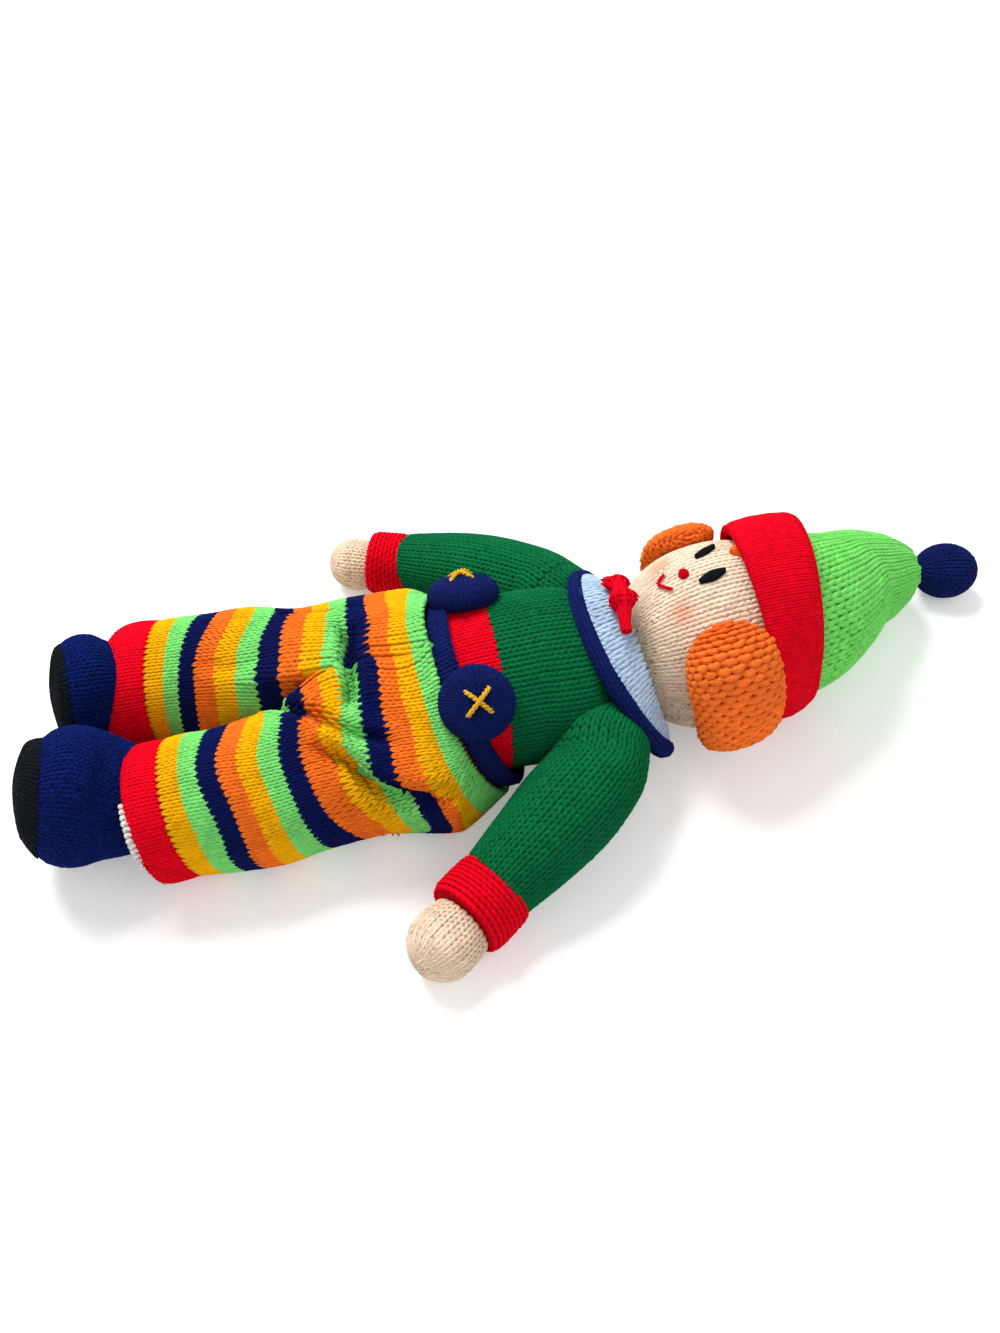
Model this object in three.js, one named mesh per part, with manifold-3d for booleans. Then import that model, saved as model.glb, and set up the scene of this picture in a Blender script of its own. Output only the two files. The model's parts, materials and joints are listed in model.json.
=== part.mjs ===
// A knitted clown doll that lies on its back with its face up.
// Millimetres. X runs from the shoes to the hat, +Z is up, and the doll's own left side is -Y.
// Every stuffed piece is one solid: its knitted skin and the filling inside it.
import * as THREE from 'three';
import { mergeVertices } from 'three/addons/utils/BufferGeometryUtils.js';
import Module from 'manifold-3d';

const wasm = await Module();
wasm.setup();

// Clearances
const seamGap = 0.3; // between pieces that are sewn face to face
const turnGap = 0.6; // between pieces that turn past each other
const hipGap = 0.9; // between a leg's round end and the seat
const flatDepth = 0.5; // how deep a soft form is pressed flat where it rests
const yarn = 1.8; // thickness of one strand
const weld = 0.01;
const seatCutBack = 10; // the block that keeps the seat's upper part starts this far behind the hips
const seatCutLow = 18; // and this far below them
const tableDeep = 100;

// Facets
const roundSides = 16;
const limbSteps = 6;
const roomSides = 8; // coarser forms that only cut room for others

// Hips and trouser legs
const hipX = -66;
const hipZ = 27.5;
const legSpacing = 60; // between the two hip centres
const legHigh = 26.3; // half the height of a trouser leg
const legWideTop = 28.5; // half the width of a trouser leg at the hip
const legWideMiddle = 27.7;
const legWideCuff = 26.2;
const legLength = 72.5; // hip to the top of the red cuff
const legRumple = { left: 3.5, right: 0 }; // how much deep folds shorten each trouser leg
const legHeading = { left: -1.5, right: 2 }; // degrees off the length of the doll
const clothThick = 3.5;
const cuffLength = 15;
const cuffFlare = 0.8;
const cuffDip = 1.3; // how far the cuff droops towards the shoe

// Stuffed legs and shoes
const legSlack = 0.6; // room between the stuffed leg and its trouser leg
const ankleRadius = 15;
const shoeGap = 1.2; // between the two shoes
const shoeWide = 24.2;
const shoeHigh = 33;
const shoeLong = 43;
const shoePush = { left: 0, right: 10.5 }; // how much each shoe is squashed lengthwise
const shoeLean = 4.5; // how far the sole end rises above the heel end
const shoeTuck = 9; // how far the shoe reaches into the cuff
const soleThick = 6;
const soleWide = 21;
const soleHigh = 29;
const soleCrown = { wide: 7, high: 9 }; // how much the sole draws in over its thickness

// Body, from the seat to the neck
const seatLength = 8.2;
const seatTuck = 1.5; // how much narrower the seat is than the two legs together
const seatFlare = 10.5; // how far the top of the seat stands off the body
const seatSquare = 0.7; // under 1 squares off the lower half of the seat
const waistbandLength = 8;
const waistbandStand = 5.5; // how far the waistband stands off the body
const waistbandRise = [3.3, 4.4]; // how far its lower and upper edge stand above the body
const waistbandHollow = [0.4, 1.2]; // the same for the room inside it
const waistSlant = 0.44; // the back of the waist lies this much nearer the head, per unit of height
const beltLength = 17.5;
const sweaterLength = 51;
const hipsWide = 36;
const hipsTop = 55;
const waistWide = 38.5;
const waistTop = 61.5;
const bellyWide = 40;
const bellyTop = 66;
const chestWide = 38;
const chestTop = 64.5;
const neckWide = 21;
const neckTop = 52;

// Buttons
const buttonRadius = 14.4;
const buttonDome = 6.5;
const buttonRim = 4;
const buttonStand = 2; // how far the back of a button's dome stands off its foot
const buttonSink = 1; // how far the foot lies in the body, before the body is cut out of it
const buttonBevel = 1.5;
const crossLength = 13;
const buttonSpots = { left: { x: -17.5, y: -26 }, right: { x: -13, y: 25 } };

// Arms
const shoulderX = 30;
const shoulderY = 41;
const shoulderZ = 33;
const armRadiusTop = 18.6;
const armRadiusMiddle = 20;
const armRadiusCuff = 15.6;
const armTaper = 2; // how much thinner the arm is above the cuff than in the middle
const armCuffLength = 19.5;
const armCuffRadius = 16.2;
const handRadius = 13.8;
const handLength = { left: 24, right: 20.5 };
const armSlim = { left: 0, right: 1.5 }; // how much slimmer each arm is stuffed
// The bend of each arm at rest, in places [below the shoulder, outwards from it, height]
const armBends = {
  left: [[4.7, 9.1, 31], [27.2, 26.7, 25], [50, 41.4, 17.5]],
  right: [[7, 11.5, 31], [31, 33.5, 25], [57.8, 54.3, 16.5]],
};
const armAims = { left: 37, right: 20 }; // degrees that each hand points outwards
const armSpreadIn = 10; // degrees towards the body
const armRaise = 80;
const tieRadius = 9;
const tieLength = 7;

// Neck and head
const neckX = 47;
const neckY = 1.4;
const neckZ = 33;
const neckRadius = 14;
const headHeading = 2.4; // degrees towards the doll's right
const headPitch = 8; // degrees off the table
const headHalf = 45.2; // half the length of the head's full egg shape
const headCentre = 43; // from the neck to the middle of the head
const headRadius = 38.9;
const headStart = 3.2;
const headTilt = 8; // degrees the head tilts to each side
const faceTurn = 7.5; // degrees the face is rolled towards the doll's right

// Collar and bow
const collarThick = 4;
const collarEdgeRadius = 3;
const collarWide = 42;
const collarBand = 15;
const collarSlope = 0.66;
const collarLift = 1; // how far the front of the collar lies above the chest
const collarBackHigh = 3.5; // height of the collar at the back of the neck
const collarBackReach = 10; // how far past the neck the back of the collar lies
const collarDraw = 12; // how much narrower the inner line is
const collarFull = 2; // and how much fuller that line is at the sides
const collarRise = 4.5; // how far the inner line stands up at the front
const bowLength = 27;
const bowThick = 9;
const bowFromNeck = { back: 3, left: 6, up: 7 };
const bowSag = 5; // how far the ends of the bow hang
const bowTurn = 4; // how far one end lies nearer the head than the other

// Face
const noseRadius = 2.7;
const mouthRadius = 0.9;
const eyeAt = 42; // from the neck, along the head
const eyeLong = 12;
const eyeWide = 6.6;
const eyeSpread = 10.5; // degrees from the middle of the face
const eyeSlant = 8;
const eyeDeep = 2.4;
const noseFrom = 31; // from the neck, along the head
// The mouth's corner, middle and corner, in places [from the neck, degrees from the middle of the face]
const mouthPlaces = [[24, 5], [21.5, 0], [25, -9]];

// Hair
const hairLong = { left: 39, right: 34 };
const hairThick = 15;
const hairAt = { left: 37, right: 42 }; // from the neck, along the head
const hairAngles = [29, 55, 80, 105, 133]; // degrees from the middle of the face
const lockFrom = [51, 55, 59]; // from the neck, along the head
// The lock's [share of its length, half width, half height]
const lockSizes = [[0, 1.5, 1], [0.5, 4, 2], [1, 6, 2.5]];

// Hat
const brimStart = 57.5;
const brimLength = 26;
const brimRadius = 42.7;
const brimSlant = { front: [-0.09, 0.1], back: [-0.2, 0.01] }; // towards the side and upwards
// How the brim rolls in: [share of its length, how far it stands off its radius]
const brimRoll = [[0, -2.6], [0.12, -0.6], [0.35, 0.8], [0.65, 0.8], [0.88, -0.6], [1, -3.4]];
const crownStart = 61;
const crownRadius = 38.6;
// Places that the crown's middle passes on its way to the tip
const crownBends = [
  [124, 7, 41], [141, 15, 37.5], [158, 26, 32], [174, 33, 26.5], [187, 38.5, 22], [198, 42.5, 18],
  [206.5, 44.5, 16],
];
// How the crown draws in: [share of its length, how much smaller its radius is]
const crownDraw = [
  [0, 2.4], [0.18, 4.4], [0.34, 8.6], [0.5, 13], [0.65, 15.6], [0.79, 20], [0.9, 26], [1, 29.5],
];
const crownTip = 6; // length over which the tip closes
const crownAim = [0.984, -0.17, -0.05]; // the way the tip points
const pompomRadius = 13.7;
const pompomLong = 15;
const pompomGap = 0.8;

const radians = THREE.MathUtils.degToRad;
const point = (x, y, z) => new THREE.Vector3(x, y, z);
const sides = { left: -1, right: 1 };

// Smooth value from a table of [place, value, value...] rows, at one place along it.
function follow(table, place, column) {
  const last = table.length - 1;
  let row = 0;
  while (row < last - 1 && place > table[row + 1][0]) row += 1;
  const slope = (k) => {
    const before = table[Math.max(k - 1, 0)];
    const after = table[Math.min(k + 1, last)];
    return (after[column] - before[column]) / (after[0] - before[0]);
  };
  const [a, b] = [table[row], table[row + 1]];
  const span = b[0] - a[0];
  const t = THREE.MathUtils.clamp((place - a[0]) / span, 0, 1);
  const [t2, t3] = [t * t, t * t * t];
  return (2 * t3 - 3 * t2 + 1) * a[column] + (t3 - 2 * t2 + t) * span * slope(row)
    + (3 * t2 - 2 * t3) * b[column] + (t3 - t2) * span * slope(row + 1);
}

// Turns the faces of a closed geometry outwards.
function outward(geometry) {
  const at = geometry.attributes.position;
  const index = geometry.index.array;
  const [a, b, c] = [point(0, 0, 0), point(0, 0, 0), point(0, 0, 0)];
  let volume = 0;
  for (let i = 0; i < index.length; i += 3) {
    a.fromBufferAttribute(at, index[i]);
    b.fromBufferAttribute(at, index[i + 1]);
    c.fromBufferAttribute(at, index[i + 2]);
    volume += a.dot(b.cross(c));
  }
  if (volume < 0) {
    for (let i = 0; i < index.length; i += 3) [index[i], index[i + 1]] = [index[i + 1], index[i]];
  }
  return geometry;
}

// A closed skin over a row of rings, each with the same number of points, between two end points.
function skin(rings, start, end) {
  const count = rings[0].length;
  const points = [start, ...rings.flat(), end];
  const index = [];
  const id = (ring, k) => 1 + ring * count + (k % count);
  const lastRing = rings.length - 1;
  const endId = points.length - 1;
  for (let k = 0; k < count; k += 1) {
    index.push(0, id(0, k + 1), id(0, k));
    index.push(endId, id(lastRing, k), id(lastRing, k + 1));
    for (let ring = 0; ring < lastRing; ring += 1) {
      index.push(id(ring, k), id(ring, k + 1), id(ring + 1, k + 1));
      index.push(id(ring, k), id(ring + 1, k + 1), id(ring + 1, k));
    }
  }
  const geometry = new THREE.BufferGeometry().setFromPoints(points);
  geometry.setIndex(index);
  return outward(geometry);
}

// A closed ring, such as a collar: cross-sections with the same number of points, joined end to end.
function hoop(sections) {
  const count = sections[0].length;
  const index = [];
  const id = (section, k) => (section % sections.length) * count + (k % count);
  for (let s = 0; s < sections.length; s += 1) {
    for (let k = 0; k < count; k += 1) {
      index.push(id(s, k), id(s, k + 1), id(s + 1, k + 1));
      index.push(id(s, k), id(s + 1, k + 1), id(s + 1, k));
    }
  }
  const geometry = new THREE.BufferGeometry().setFromPoints(sections.flat());
  geometry.setIndex(index);
  return outward(geometry);
}

// A stuffed form: rings that swell and taper along a path. The sizes table holds rows of
// [share of the length, half width, half height]; a rounded end draws in over its own length.
function stuffed(options) {
  const { path, sizes, startRound = 0, endRound = 0 } = options;
  const { steps = limbSteps, around = roundSides, grow = 0 } = options;
  const curve = new THREE.CatmullRomCurve3(path);
  const length = curve.getLength();
  const roundSteps = 4;
  const stops = [];
  for (let k = 1; k <= roundSteps && startRound; k += 1) {
    stops.push(startRound * (1 - Math.cos((k / roundSteps) * Math.PI / 2)));
  }
  const straight = length - startRound - endRound;
  const first = startRound ? 1 : 0;
  const last = endRound ? steps - 1 : steps;
  for (let k = first; k <= last; k += 1) stops.push(startRound + (straight * k) / steps);
  for (let k = roundSteps; k >= 1 && endRound; k -= 1) {
    stops.push(length - endRound * (1 - Math.cos((k / roundSteps) * Math.PI / 2)));
  }
  const shrink = (distance, round) => {
    if (!round || distance >= round) return 1;
    return Math.sqrt(1 - ((round - distance) / round) ** 2);
  };
  const rings = stops.map((stop, number) => {
    const share = THREE.MathUtils.clamp(stop / length, 0, 1);
    const centre = curve.getPointAt(share);
    const along = curve.getTangentAt(share);
    const across = point(0, 0, 1).cross(along).normalize();
    const upward = along.clone().cross(across);
    const squeeze = shrink(stop, startRound) * shrink(length - stop, endRound);
    const wide = follow(sizes, share, 1) * squeeze + grow;
    const high = follow(sizes, share, 2) * squeeze + grow;
    if (number === 0 && !startRound) centre.addScaledVector(along, -grow);
    if (number === stops.length - 1 && !endRound) centre.addScaledVector(along, grow);
    return Array.from({ length: around }, (_, k) => {
      const angle = (k / around) * Math.PI * 2;
      return centre.clone()
        .addScaledVector(across, wide * Math.cos(angle))
        .addScaledVector(upward, high * Math.sin(angle));
    });
  });
  const start = curve.getPointAt(0).addScaledVector(curve.getTangentAt(0), -grow);
  const end = curve.getPointAt(1).addScaledVector(curve.getTangentAt(1), grow);
  return skin(rings, start, end);
}

// A solid for cutting and joining, from a closed geometry.
function solid(geometry) {
  const plain = geometry.clone();
  plain.deleteAttribute('normal');
  plain.deleteAttribute('uv');
  const merged = mergeVertices(plain, 1e-4);
  return new wasm.Manifold(new wasm.Mesh({
    numProp: 3,
    vertProperties: new Float32Array(merged.attributes.position.array),
    triVerts: new Uint32Array(merged.index.array),
  }));
}

function ball(radius, centre, stretch = 1, segments = roundSides) {
  const geometry = new THREE.SphereGeometry(radius, segments, Math.round(segments * 0.6));
  geometry.scale(1, stretch, 1);
  return solid(geometry.translate(centre.x, centre.y, centre.z));
}

function block(from, to) {
  const size = to.clone().sub(from);
  const middle = from.clone().add(to).multiplyScalar(0.5);
  return solid(new THREE.BoxGeometry(size.x, size.y, size.z).translate(middle.x, middle.y, middle.z));
}

function turned(geometry, pivot, axis, degrees) {
  const turn = new THREE.Matrix4().makeRotationAxis(axis, radians(degrees));
  const copy = geometry.clone().translate(-pivot.x, -pivot.y, -pivot.z);
  return copy.applyMatrix4(turn).translate(pivot.x, pivot.y, pivot.z);
}

const without = (form, ...cutters) => cutters.reduce((rest, cutter) => rest.subtract(cutter), form);
const cutterReach = headHalf * 9; // blocks that only cut reach past the doll on every side
const table = block(point(-cutterReach, -cutterReach, -tableDeep), point(cutterReach, cutterReach, 0));
const rested = (form) => form.subtract(table);

const knit = (color, roughness = 0.92) => new THREE.MeshStandardMaterial({ color, roughness, metalness: 0 });
const finishes = {
  green: () => knit(0x0c6a3d),
  red: () => knit(0xf50a28),
  navy: () => knit(0x172056),
  cream: () => knit(0xf0d9bc),
  stripes: () => knit(0xf5b432),
  blue: () => knit(0x0e2a68),
  black: () => knit(0x1b1e22),
  orange: () => knit(0xf4652a),
  lime: () => knit(0x82e673),
  paleBlue: () => knit(0xb4cfe4),
  gold: () => knit(0xe6b93c, 0.8),
  calico: () => knit(0xe9e2d2),
};

const doll = new THREE.Group();

// Joins points that cutting left closer than the weld, with the faces that vanish left out.
function welded(geometry) {
  const merged = mergeVertices(geometry, weld);
  const all = Array.from(merged.index.array);
  const kept = [];
  for (let i = 0; i < all.length; i += 3) {
    const [a, b, c] = all.slice(i, i + 3);
    if (a !== b && b !== c && c !== a) kept.push(a, b, c);
  }
  merged.setIndex(kept);
  return merged;
}

// Adds one piece as a named mesh, placed by its own reference point inside its group.
function addPiece(group, name, form, finish, reference) {
  const mesh = form.getMesh();
  const cut = new THREE.BufferGeometry();
  cut.setAttribute('position', new THREE.BufferAttribute(new Float32Array(mesh.vertProperties), 3));
  cut.setIndex(new THREE.BufferAttribute(new Uint32Array(mesh.triVerts), 1));
  const geometry = welded(cut);
  geometry.translate(-reference.x, -reference.y, -reference.z);
  geometry.computeVertexNormals();
  const piece = new THREE.Mesh(geometry, finish());
  piece.name = name;
  piece.position.copy(reference).sub(group.position);
  group.add(piece);
  return piece;
}

function subGroup(reference) {
  const group = new THREE.Group();
  group.position.copy(reference);
  doll.add(group);
  return group;
}

// Lengthwise layout of the body
const seatX = hipX + legHigh + turnGap;
const waistbandX = seatX + seatLength;
const beltX = waistbandX + waistbandLength;
const sweaterX = beltX + beltLength;
const bodyTopX = sweaterX + sweaterLength;

// Body profile: rows of [x, half width, top, bottom]. The lower end lies on the trouser cloth.
const clothFloor = clothThick + seamGap * 2;
const bodyProfile = [
  [seatX - 4, hipsWide - 2, hipsTop - 3, clothFloor],
  [seatX + 8, hipsWide, hipsTop, clothFloor],
  [beltX, waistWide, waistTop, clothFloor],
  [sweaterX + 14, bellyWide - 0.4, bellyTop - 0.4, clothFloor],
  [sweaterX + 21, bellyWide, bellyTop, -flatDepth],
  [shoulderX, chestWide, chestTop, -flatDepth],
  [bodyTopX - 6, neckWide + 7, neckTop + 6, 2],
  [bodyTopX, neckWide, neckTop, 6],
];

// A slice of the body between two places on its length. The widen, lift and slant pairs go from the
// slice's start to its end; a slant moves the back of the slice towards the head, and a round
// under 1 squares off its lower half.
function bodySlice(from, to, options = {}) {
  const { steps = 3, grow = 0, widen = [0, 0], lift = [0, 0], drop = 0, slant = [0, 0], round = 1 } = options;
  const around = roundSides + 4;
  const lerp = THREE.MathUtils.lerp;
  const rings = Array.from({ length: steps + 1 }, (_, k) => {
    const share = k / steps;
    const edge = (k === steps ? grow : 0) - (k === 0 ? grow : 0);
    return Array.from({ length: around }, (__, n) => {
      const angle = (n / around) * Math.PI * 2;
      const lean = lerp(slant[0], slant[1], share) * (waistTop / 2) * (1 - Math.sin(angle));
      const x = lerp(from, to, share) + lean;
      const inside = THREE.MathUtils.clamp(x, bodyProfile[0][0], bodyTopX);
      const top = follow(bodyProfile, inside, 2) + lerp(lift[0], lift[1], share);
      const bottom = Math.max(follow(bodyProfile, inside, 3) - drop, -flatDepth);
      const wide = follow(bodyProfile, inside, 1) + lerp(widen[0], widen[1], share) + grow;
      const high = (top - bottom) / 2 + grow;
      const [across, upward] = [Math.cos(angle), Math.sin(angle)];
      const lower = upward < 0 ? Math.sign(across) * Math.abs(across) ** round : across;
      return point(x + edge, wide * lower, (top + bottom) / 2 + high * upward);
    });
  });
  const middle = (ring) => ring.reduce((sum, p) => sum.add(p), point(0, 0, 0)).divideScalar(ring.length);
  return solid(skin(rings, middle(rings[0]), middle(rings[steps])));
}

// Trouser leg, stuffed leg, cuff, shoe and sole of one side
function legOf(name) {
  const side = sides[name];
  const hip = point(hipX, (side * legSpacing) / 2, hipZ);
  const heading = radians(legHeading[name]);
  const legEnd = legLength - legRumple[name];
  const onLeg = (distance, z) => point(
    hip.x - distance * Math.cos(heading), hip.y + distance * Math.sin(heading), z);
  const cuffZ = legHigh + 0.6;
  const share = (distance) => (distance + legHigh) / (legEnd + legHigh);
  const middle = legEnd * 0.5;
  const path = [
    onLeg(-legHigh, hipZ), onLeg(0, hipZ), onLeg(middle, legHigh - flatDepth), onLeg(legEnd, cuffZ),
  ];
  const sizes = [
    [0, legWideTop, legHigh],
    [share(0), legWideTop, legHigh],
    [share(middle), legWideMiddle, legHigh],
    [1, legWideCuff, legHigh],
  ];
  const thin = (amount) => sizes.map(([place, wide, high]) => [place, wide - amount, high - amount]);
  const capped = (amount, beyond = []) => solid(stuffed({
    path: [onLeg(amount - legHigh, hipZ), ...path.slice(1), ...beyond],
    sizes: thin(amount),
    startRound: legHigh - amount,
    steps: 4,
  }));
  const legHollow = capped(clothThick, [onLeg(legEnd + 2, cuffZ)]);

  const slack = clothThick + legSlack;
  const innerEnd = legEnd + cuffLength - shoeTuck - seamGap;
  const innerShare = (distance) => (distance + legHigh - slack) / (innerEnd + legHigh - slack);
  const innerForm = (grow) => solid(stuffed({
    grow,
    path: [onLeg(slack - legHigh, hipZ), onLeg(0, hipZ), onLeg(legEnd * 0.6, hipZ), onLeg(innerEnd, hipZ)],
    sizes: [
      [0, legWideTop - slack, legHigh - slack],
      [innerShare(middle), legWideMiddle - slack, legHigh - slack - 1],
      [innerShare(legEnd), ankleRadius + 2, ankleRadius + 2],
      [1, ankleRadius, ankleRadius],
    ],
    startRound: legHigh - slack,
    steps: 4,
  }));
  const trouser = rested(without(capped(0), legHollow, innerForm(seamGap)));

  const soleTop = soleHigh - shoePush[name] / 4;
  const shoeStart = legEnd + cuffLength - shoeTuck;
  const shoeY = side * (shoeWide + shoeGap / 2);
  const shoeEnd = shoeLong - shoePush[name];
  const ankle = onLeg(shoeStart, hipZ);
  const onShoe = (part) => point(
    ankle.x - part * shoeEnd, THREE.MathUtils.lerp(ankle.y, shoeY, Math.min(1, part * 2)),
    THREE.MathUtils.lerp(hipZ, shoeHigh - flatDepth + shoeLean, part ** 0.8));
  const shoePath = [onShoe(0), onShoe(0.5), onShoe(1)];
  const shoeTop = shoeHigh - shoePush[name] / 4;
  const mouthRoom = legHigh - clothThick - seamGap * 2;
  const shoeSizes = [
    [0, ankleRadius, ankleRadius],
    [(shoeTuck + 0.5) / shoeEnd, legWideCuff - clothThick - 1, mouthRoom],
    [0.5, shoeWide, shoeTop * 0.95],
    [0.78, shoeWide * 0.98, shoeTop],
    [1, soleWide, soleTop],
  ];
  const shoe = rested(solid(stuffed({ path: shoePath, sizes: shoeSizes })));
  const shoeRoom = solid(stuffed({ path: shoePath, sizes: shoeSizes, grow: seamGap }));
  const inner = without(innerForm(0), shoeRoom);
  const solePoint = (depth) => {
    const outwards = shoePath[2].clone().sub(shoePath[1]).normalize();
    return shoePath[2].clone().addScaledVector(outwards, seamGap + depth);
  };
  const soleRow = (place, drawn) => [
    place, soleWide - soleCrown.wide * drawn, soleTop - soleCrown.high * drawn,
  ];
  const sole = without(solid(stuffed({
    path: [0, soleThick / 2, soleThick].map(solePoint),
    sizes: [soleRow(0, 0), soleRow(0.5, 0.14), soleRow(1, 1)],
    steps: 3,
  })), shoeRoom);

  const cuffStart = legEnd + seamGap;
  const cuffPath = [0, 0.5, 1].map((part) => onLeg(
    cuffStart + cuffLength * part, cuffZ - cuffDip * part * part));
  const cuffRow = (place, extra) => [place, legWideCuff + extra, legHigh + extra];
  const cuffSizes = [cuffRow(0, 0), cuffRow(0.5, cuffFlare), cuffRow(1, cuffFlare * 0.5)];
  const cuffHollow = cuffSizes.map(([place, wide, high]) => [place, wide - clothThick, high - clothThick]);
  const cuff = rested(without(
    solid(stuffed({ path: cuffPath, sizes: cuffSizes, steps: 3 })),
    solid(stuffed({ path: cuffPath, sizes: cuffHollow, steps: 3, grow: 0.01 })),
    capped(-seamGap), shoeRoom));
  const swing = ball(legHigh + hipGap, hip, (legWideTop + hipGap) / (legHigh + hipGap));
  return { hip, trouser, inner, shoe, sole: rested(sole), cuff, swing };
}

const legs = { left: legOf('left'), right: legOf('right') };

// Sleeve, cuff and hand of one side
function armOf(name) {
  const side = sides[name];
  const shoulder = point(shoulderX, side * shoulderY, shoulderZ);
  const slim = armSlim[name];
  const onArm = ([down, out, z]) => point(shoulderX - down, side * (shoulderY + out), z);
  const cuffRadius = armCuffRadius - slim;
  const palmRadius = handRadius - slim;
  const cuffZ = cuffRadius - flatDepth;
  const handZ = palmRadius - flatDepth;
  const path = [
    shoulder.clone().add(point(armRadiusTop * 0.6, -side * armRadiusTop * 0.8, 0)),
    shoulder,
    ...armBends[name].map(onArm),
  ];
  const sizes = [
    [0, armRadiusTop, armRadiusTop],
    [0.22, armRadiusTop, armRadiusTop],
    [0.55, armRadiusMiddle - slim, armRadiusMiddle - slim],
    [0.8, armRadiusMiddle - slim - armTaper, armRadiusMiddle - slim - armTaper],
    [1, armRadiusCuff - slim, armRadiusCuff - slim],
  ];
  const sleeveForm = (options) => stuffed({ path, sizes, startRound: armRadiusTop, ...options });
  const sleeve = rested(solid(sleeveForm({ steps: limbSteps })));

  const wrist = path[path.length - 1];
  const aim = radians(armAims[name]);
  const after = (distance, z) => point(
    wrist.x - distance * Math.cos(aim), wrist.y + side * distance * Math.sin(aim), z);
  const cuffPath = [
    after(seamGap + 0.5, cuffZ + 0.6), after(armCuffLength / 2, cuffZ), after(armCuffLength, cuffZ),
  ];
  const cuffRow = (place, less) => [place, cuffRadius - less, cuffRadius - less];
  const sleeveRoom = solid(sleeveForm({ steps: limbSteps, grow: seamGap }));
  const cuff = rested(without(solid(stuffed({
    path: cuffPath,
    sizes: [cuffRow(0, 0.8), cuffRow(0.25, 0), cuffRow(0.85, 0), cuffRow(1, 1)],
    steps: 5,
  })), sleeveRoom));
  const handStart = armCuffLength + seamGap;
  const handPath = [0, handLength[name] / 2, handLength[name]].map((d) => after(handStart + d, handZ));
  const hand = rested(solid(stuffed({
    path: handPath,
    sizes: [[0, palmRadius - 1, palmRadius - 1], [0.3, palmRadius, palmRadius], [1, palmRadius, palmRadius]],
    endRound: palmRadius,
    steps: 2,
  })));

  // The room that the torso leaves for the arm, at every angle that it is raised to.
  const coarse = sleeveForm({ grow: turnGap + 0.4, around: roomSides, steps: 3 });
  const closest = turned(coarse, shoulder, point(0, 0, 1), side * armSpreadIn);
  const crosswise = point(0, 1, 0);
  const raised = [0, 0.33, 0.67, 1].map((share) => solid(
    turned(closest, shoulder, crosswise, armRaise * share)));
  const shoulderRoom = ball(armRadiusTop + turnGap * 3, shoulder);
  const room = raised.reduce((sum, form) => sum.add(form), shoulderRoom);

  const tieForm = (radius, from, to) => {
    const shape = new THREE.CylinderGeometry(radius, radius, to - from, roomSides + 4);
    return solid(shape.translate(shoulder.x, side * (from + to) / 2, shoulder.z));
  };
  const tieTo = shoulderY - armRadiusTop * 0.85;
  const tieFrom = shoulderY - armRadiusTop - tieLength;
  const tie = without(tieForm(tieRadius, tieFrom, tieTo), ball(armRadiusTop + turnGap, shoulder));
  const tieRoom = tieForm(tieRadius + turnGap, tieFrom - seamGap, tieTo);
  return { shoulder, sleeve, cuff, hand, tie, tieRoom, room, shoulderRoom };
}

const arms = { left: armOf('left'), right: armOf('right') };

// Head frame: an axis from the neck through the head, with places given by distance and angle.
const neckAt = point(neckX, neckY, neckZ);
const headAlong = point(
  Math.cos(radians(headHeading)) * Math.cos(radians(headPitch)),
  Math.sin(radians(headHeading)) * Math.cos(radians(headPitch)),
  Math.sin(radians(headPitch)),
);
const headAcross = point(0, 0, 1).cross(headAlong).normalize();
const headUp = headAlong.clone().cross(headAcross);
const onAxis = (distance) => neckAt.clone().addScaledVector(headAlong, distance);

// Radius of the head at a distance from the neck.
function headAt(distance) {
  const off = (distance - headCentre) / headHalf;
  return headRadius * Math.sqrt(Math.max(0.02, 1 - off * off));
}

const headEnd = headCentre + headHalf;
const headSizes = Array.from({ length: 13 }, (_, k) => {
  const share = k / 12;
  const radius = headAt(THREE.MathUtils.lerp(headStart, headCentre, share));
  return [share * ((headCentre - headStart) / (headEnd - headStart)), radius, radius];
}).concat([[1, headRadius, headRadius]]);

// A place on the head's skin: distance along its axis, angle from the top of the face, and height above.
function onHead(distance, degrees, above = 0) {
  const angle = radians(degrees);
  const outwards = headAcross.clone().multiplyScalar(Math.sin(angle))
    .addScaledVector(headUp, Math.cos(angle));
  const radius = headAt(distance) + above;
  return { at: onAxis(distance).addScaledVector(outwards, radius), outwards };
}

const headShape = (grow) => stuffed({
  path: [onAxis(headStart), onAxis((headStart + headEnd) / 2), onAxis(headEnd)],
  sizes: headSizes, endRound: headHalf, steps: 6, grow, around: roundSides + 4,
});
const headRoom = solid(headShape(seamGap));
const tiltRooms = [-headTilt, headTilt].map((degrees) => solid(
  turned(headShape(turnGap), neckAt, point(0, 0, 1), degrees)));

// Neck: a ball of filling that the head turns on
const neckBall = ball(neckRadius, neckAt);
const neckRoom = ball(neckRadius + turnGap * 0.7, neckAt);

// Body pieces
const bodyEnd = bodyTopX - turnGap;
const armRooms = [arms.left.room, arms.right.room, arms.left.tieRoom, arms.right.tieRoom];
const sweaterForm = (grow) => bodySlice(sweaterX + seamGap, bodyEnd, { steps: 7, grow });
const beltForm = (grow) => bodySlice(beltX + seamGap, sweaterX, { steps: 2, grow });
const hipsForm = (grow) => bodySlice(seatX, beltX, { steps: 2, grow });
const sweaterRoom = sweaterForm(seamGap);
const bodyRooms = [sweaterRoom, beltForm(seamGap), hipsForm(seamGap)];
const sweater = without(sweaterForm(0), ...armRooms, neckRoom);
const belt = beltForm(0);
const hips = without(hipsForm(0), legs.left.swing, legs.right.swing);

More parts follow.
